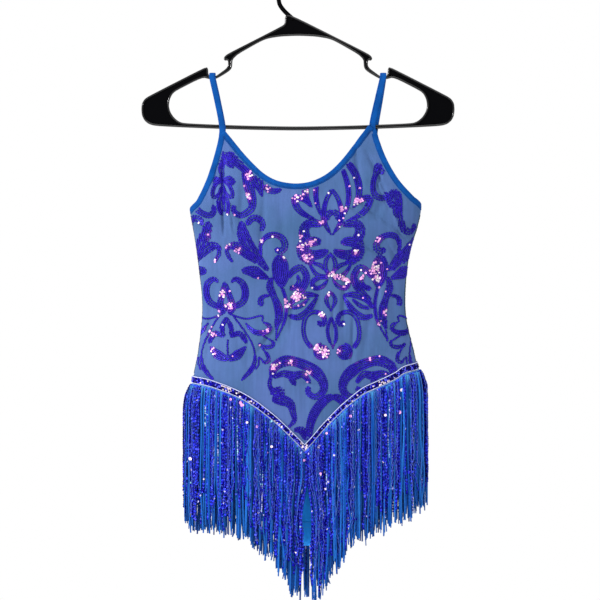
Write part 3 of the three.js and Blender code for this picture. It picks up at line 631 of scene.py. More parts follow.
def tinted_material(name, roughness, metallic, grain, sheen=0.0, stretch=(1, 1, 1)):
    """A material that takes its colour from the mesh's own tint, with fine grain on it."""
    material, tree, shader = new_material(name, (0.1, 0.1, 0.5), roughness, metallic)
    tint = tree.nodes.new("ShaderNodeVertexColor")
    tint.layer_name = "tint"
    grains = noise(tree, grain, 2.0, stretch)
    feed(shader, Base_Color=scaled(tree, tint.outputs["Color"], spread(tree, grains, 0.75, 1.25, 0.3, 0.7)),
         Roughness=spread(tree, grains, roughness * 0.7, roughness * 1.3), Specular_IOR_Level=0.06,
         Sheen_Weight=sheen, Sheen_Tint=(0.5, 0.75, 1.0, 1))
    return material


def thread_material(name, dark, light, roughness, pitch):
    """Twisted thread: mottled colour and slanting ridges."""
    material, tree, shader = new_material(name, light, roughness)
    ridges = bump(tree, waves(tree, "DIAGONAL", pitch, 0.4), 0.5, 0.0003)
    feed(shader, Base_Color=mottled(tree, dark, light, 500.0, 2.0), Normal=ridges, Specular_IOR_Level=0.15)
    return material


MESH_CLOTH = cloth_material("sequin_mesh_ground", (0.034, 0.082, 0.190), (0.056, 0.100, 0.268),
                            0.8, 0.1, 0.0009)
LINING = cloth_material("lining", (0.045, 0.11, 0.32), (0.06, 0.14, 0.38), 0.8, 0.1, 0.0008)
# Painted light: the plain knit is made lighter than it is, to make up for the shade of the fringe on the
# gusset.
PLAIN_KNIT = cloth_material("plain_knit", (0.006, 0.26, 0.86), (0.010, 0.32, 0.95), 0.6, 0.05, 0.0008)
BINDING = cloth_material("binding_tape", (0.001, 0.040, 0.18), (0.002, 0.058, 0.25), 0.6, 0.015, 0.0007,
                         60.0, 0.04)
STITCH = thread_material("stitch_thread", (0.001, 0.010, 0.07), (0.002, 0.022, 0.12), 0.7, 0.0006)
SEQUIN = tinted_material("scroll_sequin", 0.34, 0.1, 300.0)
STRING = tinted_material("string_sequin", 0.3, 0.1, 300.0)
CHAINETTE = tinted_material("chainette", 0.5, 0.0, 900.0, 0.06, (1, 1, 0.5))
THREAD = thread_material("braid_thread", (0.30, 0.34, 0.58), (0.48, 0.50, 0.72), 0.5, 0.0008)
STRING_THREAD = thread_material("string_thread", (0.04, 0.09, 0.46), (0.13, 0.21, 0.66), 0.5, 0.0008)
SIDE_SEAM_DARK = thread_material("side_seam_dark", (0.004, 0.020, 0.030), (0.012, 0.045, 0.055), 0.7, 0.0010)
GUSSET_THREAD = thread_material("gusset_thread", (0.04, 0.22, 0.62), (0.06, 0.28, 0.70), 0.6, 0.0008)
BRAID_TAPE = thread_material("braid_tape", (0.002, 0.002, 0.06), (0.008, 0.008, 0.14), 0.6, 0.0012)


def header_material():
    material, tree, shader = new_material("fringe_tape", (0.03, 0.16, 0.36), 0.7)
    feed(shader, Base_Color=mottled(tree, (0.012, 0.08, 0.27), (0.045, 0.20, 0.40), 260.0, 2.0, (1, 1, 0.15)))
    return material


def plastic_material(name, specular):
    material, tree, shader = new_material(name, (0.0012, 0.0012, 0.0016), 0.16)
    grains = noise(tree, 90.0, 5.0)
    feed(shader, Roughness=spread(tree, grains, 0.1, 0.24), Normal=bump(tree, grains, 0.08, 0.0004),
         Specular_IOR_Level=specular)
    return material


HEADER = header_material()
PLASTIC = plastic_material("black_plastic", 0.015)
PLASTIC_RIM = plastic_material("black_plastic_rim", 0.35)

# Colours of sequins and strings, linear. Painted light among them: the glint colours and their halo are
# painted highlights, the row ground and dark satin are painted shade, and the light royal, light satin and
# teal are painted highlights.
ROW_SHADE = np.array([0.004, 0.001, 0.11])
DEEP = np.array([0.009, 0.002, 0.23])
VIOLET = np.array([0.036, 0.022, 0.45])
GLINT_PINK = np.array([0.80, 0.36, 0.74])
GLINT_PALE = np.array([0.88, 0.74, 0.84])
GLINT_LILAC = np.array([0.42, 0.42, 0.78])
GLINT_GREEN = np.array([0.28, 0.62, 0.66])
GLINT_HALO = np.array([0.16, 0.03, 0.34])
MIDNIGHT = np.array([0.001, 0.0005, 0.075])
ROYAL = np.array([0.003, 0.001, 0.31])
ROYAL_LIT = np.array([0.022, 0.040, 0.72])
SATIN_SHADED = np.array([0.001, 0.015, 0.11])
SATIN = np.array([0.003, 0.060, 0.31])
SATIN_LIT = np.array([0.014, 0.13, 0.46])
TEAL_HIGHLIGHT = np.array([0.05, 0.22, 0.42])
BRAID_BLUE = np.array([0.09, 0.10, 0.72])


# The scrolls, on one half of the repeat: out is the distance from the mirror line, then the height.
# Each stroke is a row of points: out, height and width. The widths are spread evenly along it.
STROKES = [
    # lily on the first mirror line
    [(0, -291, 5.4), (7, -302, 6), (11, -315, 6.7), (12, -327, 8), (9, -338, 6), (1, -351, 3.4)],
    [(15, -264, 6.7), (20, -280, 7.4), (22, -297, 7.4), (20, -312, 6.7), (16, -324, 4)],
    [(22, -255, 9.4), (32, -270, 10.7), (36, -285, 10.7), (35, -300, 8.7), (29, -311, 4)],
    [(0, -320, 8.7), (6, -324, 8.7), (8, -331, 8)],
    [(28, -314, 4), (35, -306, 6.7), (43, -302, 8), (51, -301, 8)],
    [(51, -301, 9.4), (49, -311, 9.4), (43, -320, 8), (32, -327, 5.4), (18, -333, 2.7)],
    # acanthus below it
    [(14, -338, 6.7), (23, -336, 10.7), (31, -336, 12.1), (37, -342, 13.4), (37, -350, 14.7),
     (33, -359, 14.7)],
    [(35, -362, 13.4), (24, -360, 13.4), (14, -361, 9.4)],
    [(33, -358, 14.7), (37, -367, 17.4), (35, -378, 17.4), (27, -385, 10.7)],
    [(4, -372, 6.7), (12, -376, 12.1), (23, -378, 13.4), (32, -374, 12.1)],
    [(37, -379, 12.1), (29, -386, 10.7), (21, -387, 6.7)],
    # rosette of open leaves
    [(0, -376, 4), (6, -386, 6), (6, -397, 6), (0, -406, 5)],
    [(3, -403, 4), (13, -392, 6), (28, -388, 4)],
    [(3, -406, 4), (18, -404, 6), (28, -390, 4)],
    [(3, -409, 4), (14, -408, 6), (24, -414, 7), (21, -422, 7), (11, -420, 6), (4, -412, 4)],
    [(0, -426, 4), (6, -438, 6), (0, -453, 3)],
    # twin spirals with a leaf between them
    [(18, -467, 7), (13, -471, 7), (9, -465, 7), (13, -457, 6), (24, -454, 6), (34, -461, 6),
     (38, -476, 6), (36, -491, 6), (28, -502, 7)],
    [(0, -461, 5), (5.5, -475, 5), (5, -489, 5), (0, -502, 3)],
    # great scroll at the hip
    [(83, -541, 8), (79, -527, 13), (63, -519, 15), (45, -522, 13), (27, -531, 14), (15, -544, 16),
     (13, -558, 13), (23, -567, 10), (33, -562, 8), (33, -554, 8)],
    [(80, -541, 5), (67, -536, 9), (53, -539, 12), (41, -537, 9), (31, -548, 6)],
    [(57, -541, 9), (51, -551, 7)],
    [(84, -540, 5), (86, -551, 6), (80, -562, 8)],
    [(84, -562, 9), (71, -559, 12), (70, -568, 7)],
    [(82, -570, 10), (70, -571, 15), (58, -576, 13), (54, -587, 9), (52, -598, 7), (59, -607, 4)],
    [(52, -611, 6), (42, -612, 12), (33, -623, 13)],
    # arch under it, on the mirror line
    [(0, -566, 9), (12, -572, 13), (23, -585, 13), (30, -601, 11), (33, -622, 8)],
    # flower between the mirror lines
    [(67, -378, 14), (67, -392, 23), (66, -408, 23), (66, -421, 10)],
    [(118, -399, 9), (104, -400, 17), (84, -409, 6)],
    [(56, -408, 6), (49, -399, 9), (39, -395, 9), (32, -406, 10), (36, -420, 10), (47, -432, 9),
     (54, -436, 5)],
    [(54, -423, 8), (46, -420, 7), (42, -413, 6), (44, -405, 4)],
    [(79, -408, 6), (82, -420, 11), (77, -434, 9), (72, -448, 12), (71, -461, 11), (74, -471, 4),
     (76, -492, 2)],
    [(65, -422, 5), (61, -438, 5), (61, -454, 5), (65, -470, 4), (76, -491, 2)],
    [(83, -432, 4), (91, -433, 5), (96, -438, 8), (95, -445, 10)],
    [(57, -448, 6), (49, -438, 8), (32, -431, 9), (17, -432, 4)],
    [(57, -459, 6), (44, -461, 9), (31, -452, 8), (18, -434, 4)],
    [(52, -449, 5), (41, -446, 6), (30, -437, 4)],
    # leaf and tendrils above the flower
    [(139, -368, 6), (127, -366, 14), (110, -377, 13), (97, -388, 7)],
    [(138, -368, 5), (137, -377, 6), (131, -387, 4)],
    [(92, -380, 4), (93, -364, 5), (86, -354, 7), (75, -351, 8), (65, -356, 8), (61, -366, 9),
     (66, -373, 9), (73, -370, 8)],
    # iris on the second mirror line
    [(141, -239, 6.7), (142, -253, 10.7), (143, -268, 8), (143, -283, 5.4), (143, -299, 6.7),
     (143, -320, 5.4)],
    [(140, -279, 4.7), (132, -285, 5.4), (128, -295, 5.4), (130, -301, 5.4), (137, -296, 4.7),
     (140, -287, 4)],
    [(140, -277, 6.7), (132, -279, 14.7), (124, -281, 9.4)],
    [(138, -299, 5.4), (135, -312, 6.7), (138, -324, 6.7)],
    # horned flower on the second mirror line
    [(134, -414, 4), (128, -410, 8), (119, -416, 10), (116, -428, 10), (120, -440, 9), (131, -447, 8)],
    [(143, -414, 5), (139, -428, 8), (134, -445, 9)],
    [(131, -448, 10), (143, -451, 19)],
    [(137, -457, 3), (126, -461, 3), (114, -463, 3), (95, -459, 3), (94, -466, 3)],
    [(94, -467, 3), (84, -473, 6), (88, -480, 7), (99, -482, 8), (108, -479, 6), (117, -469, 3)],
    [(96, -485, 2), (83, -492, 3), (80, -498, 5), (90, -501, 6), (101, -496, 3), (91, -508, 3),
     (87, -517, 5), (93, -521, 6), (101, -514, 3), (101, -523, 3), (105, -530, 3)],
    [(135, -457, 3), (122, -475, 4), (110, -496, 4), (106, -514, 4), (110, -529, 7), (124, -545, 4)],
    [(143, -462, 5), (137, -474, 7), (138, -487, 5)],
    [(138, -486, 6), (126, -483, 8), (117, -495, 6)],
    [(143, -492, 3), (143, -512, 3)],
    [(143, -517, 8), (131, -512, 13), (119, -501, 5)],
]
# Strokes on one side of the first mirror line alone, where the two sides of the cloth differ.
LEFT_STROKES = [
    [(119, -334, 9), (117, -350, 17), (109, -366, 16.1), (98, -380, 12.1), (84, -398, 6.7)],
    [(111, -337, 8), (105, -330, 8.7), (98, -329, 9.4), (92, -334, 9.4), (91, -341, 8), (94, -345, 6.7)],
    [(135, -243, 12.1), (120, -252, 16.1), (104, -265, 17.4), (95, -280, 14.7), (90, -299, 4)],
    [(139, -241, 8), (132, -251, 16.1), (126, -261, 6.7)],
    [(110, -264, 10.7), (107, -281, 12.1), (103, -300, 13.4), (103, -314, 12.1), (111, -322, 9.4),
     (121, -325, 8.7), (128, -319, 8), (127, -312, 6.7)],
    [(86, -285, 8), (83, -290, 8.7), (76, -293, 8), (67, -291, 5.4)],
]
RIGHT_STROKES = [
    [(83, -291, 14.7), (81, -303, 21.4), (79, -315, 10.7)],
    [(85, -310, 12.1), (85, -320, 10.7), (86, -329, 5.4)],
    [(88, -303, 8), (88, -318, 8.5), (90, -332, 8.5), (95, -343, 9.4), (102, -347, 10.1), (108, -344, 8),
     (110, -336, 6.7)],
    [(114, -354, 6), (108, -366, 13), (98, -380, 12.1), (84, -398, 6.7)],
    [(65, -256, 10.7), (60, -269, 10.1), (56, -280, 7.4), (55, -291, 7.4), (58, -299, 8), (66, -302, 8.7),
     (72, -299, 8), (70, -295, 6.7)],
    [(63, -260, 10.7), (70, -269, 8)],
    [(96, -372, 9), (90, -386, 12), (78, -398, 6)],
]
# Round bosses whose rows run in a coil: out, height, radius.
BOSSES = [(15, -507, 11)]
HALF_REPEAT = 143
# How far the cloth stands drawn out between the mirror lines, by height.
DRAWN_OUT = [(-411, -1.6), (-319, 4.7), (-284, 6.0)]
DRAWN_FROM, DRAWN_OVER = 55, 50
ROW_PITCH = 2.6
SEQUIN_STEP = 1.3
SEQUIN_RADIUS = 0.86
SEQUIN_SPACING = 1.05
# Dark discs under every second sequin: painted shade in the gaps between the rows.
ROW_SHADE_RADIUS = 1.55
ROW_SHADE_EVERY = 2
SHINGLE = 0.25
GLINT_SHARE, GLINT_FALL, STRAY_GLINTS = 0.8, 2.2, 0.003
GLINT_SIZE = (1.4, 2.1)
FIRST_AXIS = {1: 36, -1: -28}

# Where the front sequins get painted glints, where they catch the light most: place round the body, height,
# reach.
GLINTS = [(-14, -297, 12), (6, -292, 8), (-10, -354, 7), (-4, -368, 7), (-22, -378, 8), (40, -405, 9),
          (56, -412, 12), (30, -428, 9), (-10, -434, 13), (-24, -445, 9), (94, -395, 13), (80, -405, 8),
          (100, -408, 8), (24, -458, 6), (25, -508, 12), (14, -500, 8), (40, -505, 8), (-20, -522, 8),
          (-44, -524, 9), (-58, -538, 6), (2, -535, 7), (98, -500, 12), (84, -512, 8), (-80, -300, 9),
          (-84, -288, 6), (-103, -330, 9), (-120, -336, 7), (-104, -362, 8), (-122, -385, 8),
          (-88, -372, 6), (-60, -358, 6), (-110, -430, 8), (-100, -445, 8), (-128, -480, 8),
          (-54, -478, 8), (-130, -510, 9), (-70, -552, 9), (112, -330, 8), (66, -305, 7), (50, -316, 6),
          (9, -363, 8), (5, -382, 9), (22, -333, 6), (47, -341, 5), (74, -308, 7), (50, -368, 5),
          (70, -375, 5), (99, -358, 7), (-74, -272, 7), (-50, -289, 6), (-40, -357, 7), (-126, -352, 8),
          (112, -455, 6), (96, -470, 6), (-118, -455, 6), (64, -515, 7)]


def arc_table():
    """Distance round the tube from its front or back middle, for a grid of heights and turns."""
    heights = np.arange(-640, -200, 8.0)
    turns = np.linspace(-90, 90, 181)
    table = {}
    for side in (1, -1):
        arcs = []
        for z in heights:
            p = tube_point(turns if side > 0 else 180 - turns, np.full(181, z))
            run = distance_along(p[:, :2])
            arcs.append(run - run[90])
        table[side] = np.array(arcs)
    return heights, turns, table


HEIGHTS, TURNS, ARCS = arc_table()


def turn_from_arc(side, arc, z):
    """The turn of a point that lies an arc away from the middle; nan past the side seam."""
    level = np.clip(np.round((z - HEIGHTS[0]) / 8).astype(int), 0, len(HEIGHTS) - 1)
    turn = np.full(len(arc), np.nan)
    for k in np.unique(level):
        here = level == k
        turn[here] = np.interp(arc[here], ARCS[side][k], TURNS, left=np.nan, right=np.nan)
    return turn if side > 0 else 180 - turn


def stroke_sequins(rows):
    """Places of the sequins of one stroke, in rows counted in from both its edges: out, height and
    the direction of the row."""
    rows = np.array(rows, float)
    widths = rows[:, 2]
    rough = smooth_line(rows[:, :2], 60)
    length = distance_along(rough)[-1]
    steps = max(int(length / SEQUIN_STEP), 2)
    route = respaced(rough, steps)
    along = unit(np.gradient(route, axis=0))
    across = np.stack([-along[:, 1], along[:, 0]], 1)
    u = np.linspace(0, 1, steps + 1)
    width = read_smooth(np.linspace(0, 1, len(widths)), widths, u)
    tip = np.minimum(u, 1 - u) * length + 0.6
    width = width * np.sqrt(np.clip(1 - (1 - tip / (0.5 * width)) ** 2, 0, 1)) ** (tip < 0.5 * width)
    found = []
    for row in range(int(max(widths) / 2 / ROW_PITCH) + 2):
        away = width / 2 - (row + 0.5) * ROW_PITCH
        apart = away > 0.3 * ROW_PITCH
        middle = ~apart & (away > -0.3 * ROW_PITCH)
        for sign in (-1, 1):
            found.append(np.hstack([route + across * away[:, None] * sign, along])[apart])
        found.append(np.hstack([route, along])[middle])
    return np.vstack(found)


def read_smooth(at, values, where):
    """Values at some places, with soft steps between them."""
    i = np.clip(np.searchsorted(at, where) - 1, 0, len(at) - 2)
    t = (where - at[i]) / (at[i + 1] - at[i])
    values = np.asarray(values, float)
    s = 0.5 * t + 0.5 * t * t * (3 - 2 * t)
    return values[i] + (values[i + 1] - values[i]) * s


def boss_sequins(out, height, radius):
    """Sequins in a coil: out, height and the direction of the row."""
    turns = radius / ROW_PITCH
    angle = np.sqrt(np.linspace(0, 1, int(np.pi * radius * turns / SEQUIN_STEP))) * turns * 2 * np.pi
    reach = ROW_PITCH * angle / (2 * np.pi)
    ray = np.stack([np.cos(angle), np.sin(angle)], 1)
    across = np.stack([-ray[:, 1], ray[:, 0]], 1)
    return np.hstack([(out, height) + ray * reach[:, None], across])


def scroll_places(side):
    """Places of all the sequins of one side: distance round the tube, height and the row's direction."""
    both = [boss_sequins(*boss) for boss in BOSSES] + [stroke_sequins(rows) for rows in STROKES]
    left = np.vstack(both + [stroke_sequins(rows) for rows in LEFT_STROKES])
    right = np.vstack(both + [stroke_sequins(rows) for rows in RIGHT_STROKES])
    heights, widths = np.transpose(DRAWN_OUT)
    copies = []
    for turnover in (-2, 0, 2):
        for mirror in (-1, 1):
            half = left if turnover + mirror * 0.5 < 0 else right
            more = np.interp(half[:, 1], heights, widths)
            out = half[:, 0] + more * np.clip((half[:, 0] - DRAWN_FROM) / DRAWN_OVER, 0, 1)
            arc = FIRST_AXIS[side] + turnover * (HALF_REPEAT + more) + mirror * out
            copies.append(np.stack([arc, half[:, 1], mirror * half[:, 2], half[:, 3]], 1))
    return np.vstack(copies)


def thinned(points, spacing):
    """Leaves out each place that lies too close to an earlier one."""
    tree = KDTree(len(points))
    for i, (x, z) in enumerate(points[:, :2]):
        tree.insert((x, z, 0), i)
    tree.balance()
    kept = np.ones(len(points), bool)
    for i, (x, z) in enumerate(points[:, :2]):
        if kept[i]:
            for _, j, _ in tree.find_range((x, z, 0), spacing):
                if j > i:
                    kept[j] = False
    return points[kept]


def shine_at(side, arc, z):
    """How near a sequin lies to a painted glint spot, where it catches the light."""
    shine = np.zeros(len(arc))
    spots = GLINTS if side > 0 else [(-a * 0.8 - 12, b - 6, r) for a, b, r in GLINTS[::2]]
    for at, height, reach in spots:
        shine = np.maximum(shine, np.exp(-(((arc - at) ** 2 + (z - height) ** 2) / (reach * 0.8) ** 2)))
    return shine


def scroll_sequins(side, word):
    p = thinned(scroll_places(side), SEQUIN_SPACING)
    turn = turn_from_arc(side, p[:, 0], p[:, 1])
    high = height_of(upper_edge(side, BINDING_WIDTH / 2 + 1.2, 60, 120), turn)
    low = height_of(seam_line(side, 80), turn) + TRIM_WIDTH / 2 * 1.25
    keep = (p[:, 1] < high) & (p[:, 1] > low)
    p, turn = p[keep], turn[keep]
    arc, z = p[:, 0], p[:, 1]
    centres, normals = tube_frame(turn, z, rng.uniform(0.5, 0.75, len(p)))
    level = unit(np.cross([0.0, 0.0, 1.0], normals))
    row = unit(level * p[:, 2:3] + np.cross(normals, level) * p[:, 3:4])
    tilted = unit(normals + row * SHINGLE + rng.normal(0, 0.06, normals.shape))
    shine = shine_at(side, arc, z)
    # Painted glints: sequins near the glint spots are painted pale and pink, and made larger and lifted.
    bright = rng.uniform(0, 1, len(p)) < GLINT_SHARE * shine ** GLINT_FALL + STRAY_GLINTS
    drift = 0.5 + 0.3 * np.sin(arc * 0.05 + 1.3) * np.sin(z * 0.043) + 0.2 * np.sin(arc * 0.13 - z * 0.09)
    mix = np.clip(0.5 * drift + 0.5 * rng.beta(1.0, 1.6, len(p)), 0, 1)[:, None]
    tint = DEEP * (1 - mix) + VIOLET * mix
    glint_tint = np.where(rng.uniform(0, 1, len(p))[:, None] < 0.3, GLINT_PALE, GLINT_PINK)
    tint = np.where(bright[:, None], glint_tint * rng.uniform(0.55, 1.0, len(p))[:, None], tint)
    # Painted highlight: sequins round the painted glints are tinted towards a pink-violet halo.
    near = (shine > 0.15) & ~bright
    tint[near] = tint[near] * 0.6 + GLINT_HALO * 0.4
    size = np.where(bright, rng.uniform(*GLINT_SIZE, len(p)), 1) * SEQUIN_RADIUS
    over = discs(centres + normals * np.where(bright, 0.25, 0)[:, None], tilted, size)
    # Painted shade between the rows: larger dark discs under every second sequin darken the gaps.
    shade_discs = slice(None, None, ROW_SHADE_EVERY)
    under = discs(centres[shade_discs] - normals[shade_discs] * 0.3, normals[shade_discs], ROW_SHADE_RADIUS)
    colours = np.vstack([tint.repeat(SEQUIN_SIDES, axis=0), np.broadcast_to(ROW_SHADE, (len(under[0]), 3))])
    add_piece("scroll_sequins_" + word, join([over, under]), [SEQUIN], "sequinned_mesh",
              smooth=False, colours=colours)


# Bindings and straps.

# Rows of stitches, by their distance from the middle of a tape, and their rows across the gusset.
EDGE_STITCHES, NECK_STITCHES, LEG_STITCHES = 2.9, 1.6, 1.2
GUSSET_STITCHES = (4, 15, 165, 176)  # degrees, from the front under the gusset to the back

def tape(points, normals, width, thick, closed, pucker=0.12):
    """A flat tape along a route, a little uneven in thickness."""
    run = np.arange(len(points))
    section = np.broadcast_to(rounded(width, thick), (len(points), TAPE_CORNERS, 2)).copy()
    section[..., 1] *= (1 + pucker * np.sin(run * 1.9 + np.sin(run * 0.37) * 3))[:, None]
    return sweep(points, normals, section, closed)


def stitches(points, normals, offset, lift, closed):
    """Short raised stitches along a line beside a route."""
    both = np.hstack([points, normals])
    if closed:
        both = np.vstack([both, both[:1]])
    length = distance_along(both[:, :3])[-1]
    both = respaced(both, max(int(length / STITCH_PITCH), 4), lambda line: line[:, :3])
    p, n = both[:, :3], unit(both[:, 3:])
    along = unit(np.gradient(p, axis=0))
    left = unit(np.cross(n, along))
    centre = p + left * offset + n * lift
    box = np.array([(-1, -1), (1, -1), (1, 1), (-1, 1)])
    verts = np.concatenate([centre[:, None] + along[:, None] * end * STITCH_PITCH * 0.33
                            + left[:, None] * box[None, :, :1] * 0.22 + n[:, None] * box[None, :, 1:] * 0.16
                            for end in (-1, 1)], 1)
    base = np.arange(len(p))[:, None] * 8
    sides = [(k, (k + 1) % 4, (k + 1) % 4 + 4, k + 4) for k in range(4)]
    faces = [base + corners for corners in [*sides, (3, 2, 1, 0), (4, 5, 6, 7)]]
    return verts.reshape(-1, 3), [np.vstack(faces)]


def strap_route(x, start, end):
    """A strap's middle line over the hanger, and the way its outer face looks."""
    y, z, looks = np.transpose(STRAP)
    points = through(np.vstack([start, np.stack([x, y, z], 1), end]), STRAP_STEPS)[1:]
    facing = np.concatenate([[0], looks, [180]])
    at = np.arange(1, STRAP_STEPS * (len(facing) - 1)) / STRAP_STEPS
    angles = np.radians(np.interp(at, np.arange(len(facing)), facing))
    return points, np.stack([np.zeros_like(angles), -np.cos(angles), np.sin(angles)], 1)


def strap_and_armhole(rows, strap):
    points, normals = raised(armhole_line(rows), 120, -CLOTH / 2)
    over, faced = strap_route(strap, points[-1], points[0])
    return np.vstack([points, over]), unit(np.vstack([normals, faced]))


def gusset_frame(across, sweep_angle, lift=0.0):
    a = np.radians(sweep_angle)
    reach = np.where(np.cos(a) > 0, GUSSET["front"], GUSSET["back"])
    point = np.stack([MIDDLE + across + 0 * a, -reach * np.cos(a),
                      GUSSET["top"] - GUSSET["drop"] * np.sin(a)], -1)
    normal = unit(np.stack([0 * a, -np.cos(a) / reach, -np.sin(a) / GUSSET["drop"]], -1))
    return point + normal * lift, normal


def gusset_half(sweep_angle):
    return GUSSET["half"] - GUSSET["narrow"] * np.sin(np.radians(sweep_angle))


def leg_route(leg):
    front, back = [raised(leg_line(side, leg), 80, -CLOTH / 2) for side in (1, -1)]
    angle = np.linspace(0, 180, 34)[1:-1]
    under = gusset_frame(leg * (gusset_half(angle) + GAP + BINDING_WIDTH / 2), angle, -CLOTH / 2)
    return [np.vstack([a, b, c[::-1][:-1]]) for a, b, c in zip(front, under, back)]


def add_bindings():
    """The tapes on neck, straps, armholes and legs, with rows of stitches: how far aside and how high."""
    sewn = []

    def bind(name, word, route, width, thick, closed, rows):
        shape = tape(*route, width, thick, closed)
        add_piece(name + "_tape_" + word, shape, [BINDING], "binding_tape", name + "_binding_" + word)
        trim = slice(None) if closed else slice(3, -3)
        sewn.extend(stitches(route[0][trim], route[1][trim], *row, closed) for row in rows)

    lift = BINDING_THICK / 2
    for side, word in SIDES:
        route = raised(neck_line(side), 150, -CLOTH / 2)
        rows = [(-side * EDGE_STITCHES, lift), (-side * NECK_STITCHES, lift)]
        bind("neck", word, route, BINDING_WIDTH, BINDING_THICK, False, rows)
    straps = ("left", ARMHOLE_LEFT, STRAP_LEFT, -1), ("right", ARMHOLE_RIGHT, STRAP_RIGHT, 1)
    for word, armhole, strap, low in straps:
        rows = [(low * EDGE_STITCHES, STRAP_THICK / 2 + 0.12)]
        bind("strap", word, strap_and_armhole(armhole, strap), STRAP_WIDTH, STRAP_THICK + 0.3, True, rows)
    for word, leg in (("left", -1), ("right", 1)):
        rows = [(-leg * EDGE_STITCHES, lift), (leg * LEG_STITCHES, lift)]
        bind("leg", word, leg_route(leg), BINDING_WIDTH, BINDING_THICK, True, rows)
    add_piece("binding_stitches", join(sewn), [STITCH], "binding_tape", smooth=False)


# Turn round the body, top and foot of the two side seams; the right one rolls to the front.
SIDE_SEAMS = [(-90, -328, -536), (85, -324, -520)]


def add_side_seams():
    """Narrow dark ridges down the two sides."""
    ridges = []
    for turn, top, foot in SIDE_SEAMS:
        z = np.linspace(top, foot, 260)
        wander = turn + 1.2 * np.sin(z * 0.045) * np.sin(z * 0.011 + 1)
        ridges.append(tape(*tube_frame(wander, z, 0.1), 2.2, 0.9, False, 0.35))
    add_piece("side_seams", join(ridges), [SIDE_SEAM_DARK], "sequinned_mesh")


def add_gusset():
    angle, across = np.meshgrid(np.linspace(0, 180, 40), np.linspace(-1, 1, 17), indexing="ij")
    outer, normals = gusset_frame(across * (gusset_half(angle) + 2), angle)
    cloth_wall("gusset", outer, normals, PLAIN_KNIT, "plain_knit", "gusset")
    sewn = []
    for sweep_angle in GUSSET_STITCHES:
        across = np.linspace(-GUSSET["half"], GUSSET["half"], 40)
        route = gusset_frame(across, np.full(40, float(sweep_angle)), 0.15)
        sewn.append(stitches(*route, 0, 0.1, False))
    add_piece("gusset_stitches", join(sewn), [GUSSET_THREAD], "plain_knit", smooth=False)


# Hip braid.

BRAID_STEPS = 110  # from a side seam to the point of the V
BRAID_COLUMNS = 7
THREAD_EDGES, THREAD_STEPS = (-0.86, 0.86), 900  # shares of the braid's half width, and steps along one side
BRAID_ROWS, ROW_GAP, ROW_STEPS = ((-1, 0.0), (0, 0.5), (1, 0.0)), 2.1, 190

def add_braid(side, word):
    seam = seam_line(side, BRAID_STEPS)
    reach = TRIM_WIDTH / 2 * SLANT
    across = np.linspace(-1, 1, BRAID_COLUMNS)
    outer = np.stack([off_tube(lowered(seam, reach * a), 1.7 - 0.4 * a ** 2)[0] for a in across])
    inner = np.stack([off_tube(lowered(seam, reach * a), 0.4)[0] for a in across])
    add_piece("hip_braid_" + word, wall_mesh(outer, inner), [BRAID_TAPE], "sequin_braid", "hip_trim_" + word)
    cords = []
    for edge in THREAD_EDGES:
        swell = 0.5 + 0.2 * np.abs(np.sin(np.arange(THREAD_STEPS + 1) * 0.62))
        route = raised(lowered(seam, edge * reach), THREAD_STEPS, 1.6)
        cords.append(sweep(*route, circle(6)[None] * swell[:, None, None], False))
    add_piece("hip_braid_threads_" + word, join(cords), [THREAD], "sequin_braid")
    centres, lean = [], []
    for row, shift in BRAID_ROWS:
        line = respaced(lowered(seam, row * ROW_GAP), ROW_STEPS, on_tube)
        points, normals = off_tube(line[:-1] + (line[1:] - line[:-1]) * shift, 2.2)
        along = unit(np.gradient(points, axis=0))
        loose = rng.normal(0, 0.18, normals.shape)
        centres.append(points)
        lean.append(unit(normals + along * 0.35 + np.array([0, 0, 0.25 * row]) + loose))
    centres = np.vstack(centres)
    shape = discs(centres, np.vstack(lean), rng.uniform(1.05, 1.4, len(centres)))
    level = rng.uniform(0, 1, (len(centres), 1))
    tint = np.where(level < 0.5, MIDNIGHT, np.where(level < 0.78, ROYAL, BRAID_BLUE))
    # Painted glints: a few sequins, more in patches along the braid, are painted pale.
    bright = rng.uniform(0, 1, len(centres)) < 0.05 + 0.5 * (np.sin(centres[:, 0] * 0.06 + side) > 0.93)
    tint[bright] = GLINT_PALE * rng.uniform(0.6, 1, (bright.sum(), 1))
    add_piece("hip_braid_sequins_" + word, shape, [STRING], "sequin_braid", smooth=False,
              colours=tint.repeat(SEQUIN_SIDES, axis=0))


# Fringe.

HEADER_TOP = TRIM_WIDTH / 2 * SLANT + 0.2
HEADER_WIDTH = 9.0
HEADER_LIFTS = (2.0, 0.5)  # of its outer and inner face
ROOT_DROP, ROOT_LIFT = 2.2, 1.6
ROOT_SAMPLES = 2000
CHAINETTES = 290
CHAINETTE_RINGS, CHAINETTE_CORNERS = 15, 5
CHAINETTE_LAYERS = (0.0, 1.6, 3.2, 4.8)
CHAINETTE_RADIUS = (0.85, 1.35)
STRINGS = 240
STRING_RINGS = 104
PARTING = {"middle": 12.5, "half": 9.5, "reach": 32, "top": -675, "run": 45}
BUNCH = {"middle": 11.5, "half": 3.2, "reach": 10.5}
STRING_LAYERS, LAYER_SHARES = (1.6, 3.4, 5.4), (0.15, 0.35, 0.5)
STRING_SHORTER, SHORTER_SHARES = (14, 26, 42, 60), (0.2, 0.35, 0.3, 0.15)
STRING_TWIST = (0.1, 0.3)  # radians from one ring to the next
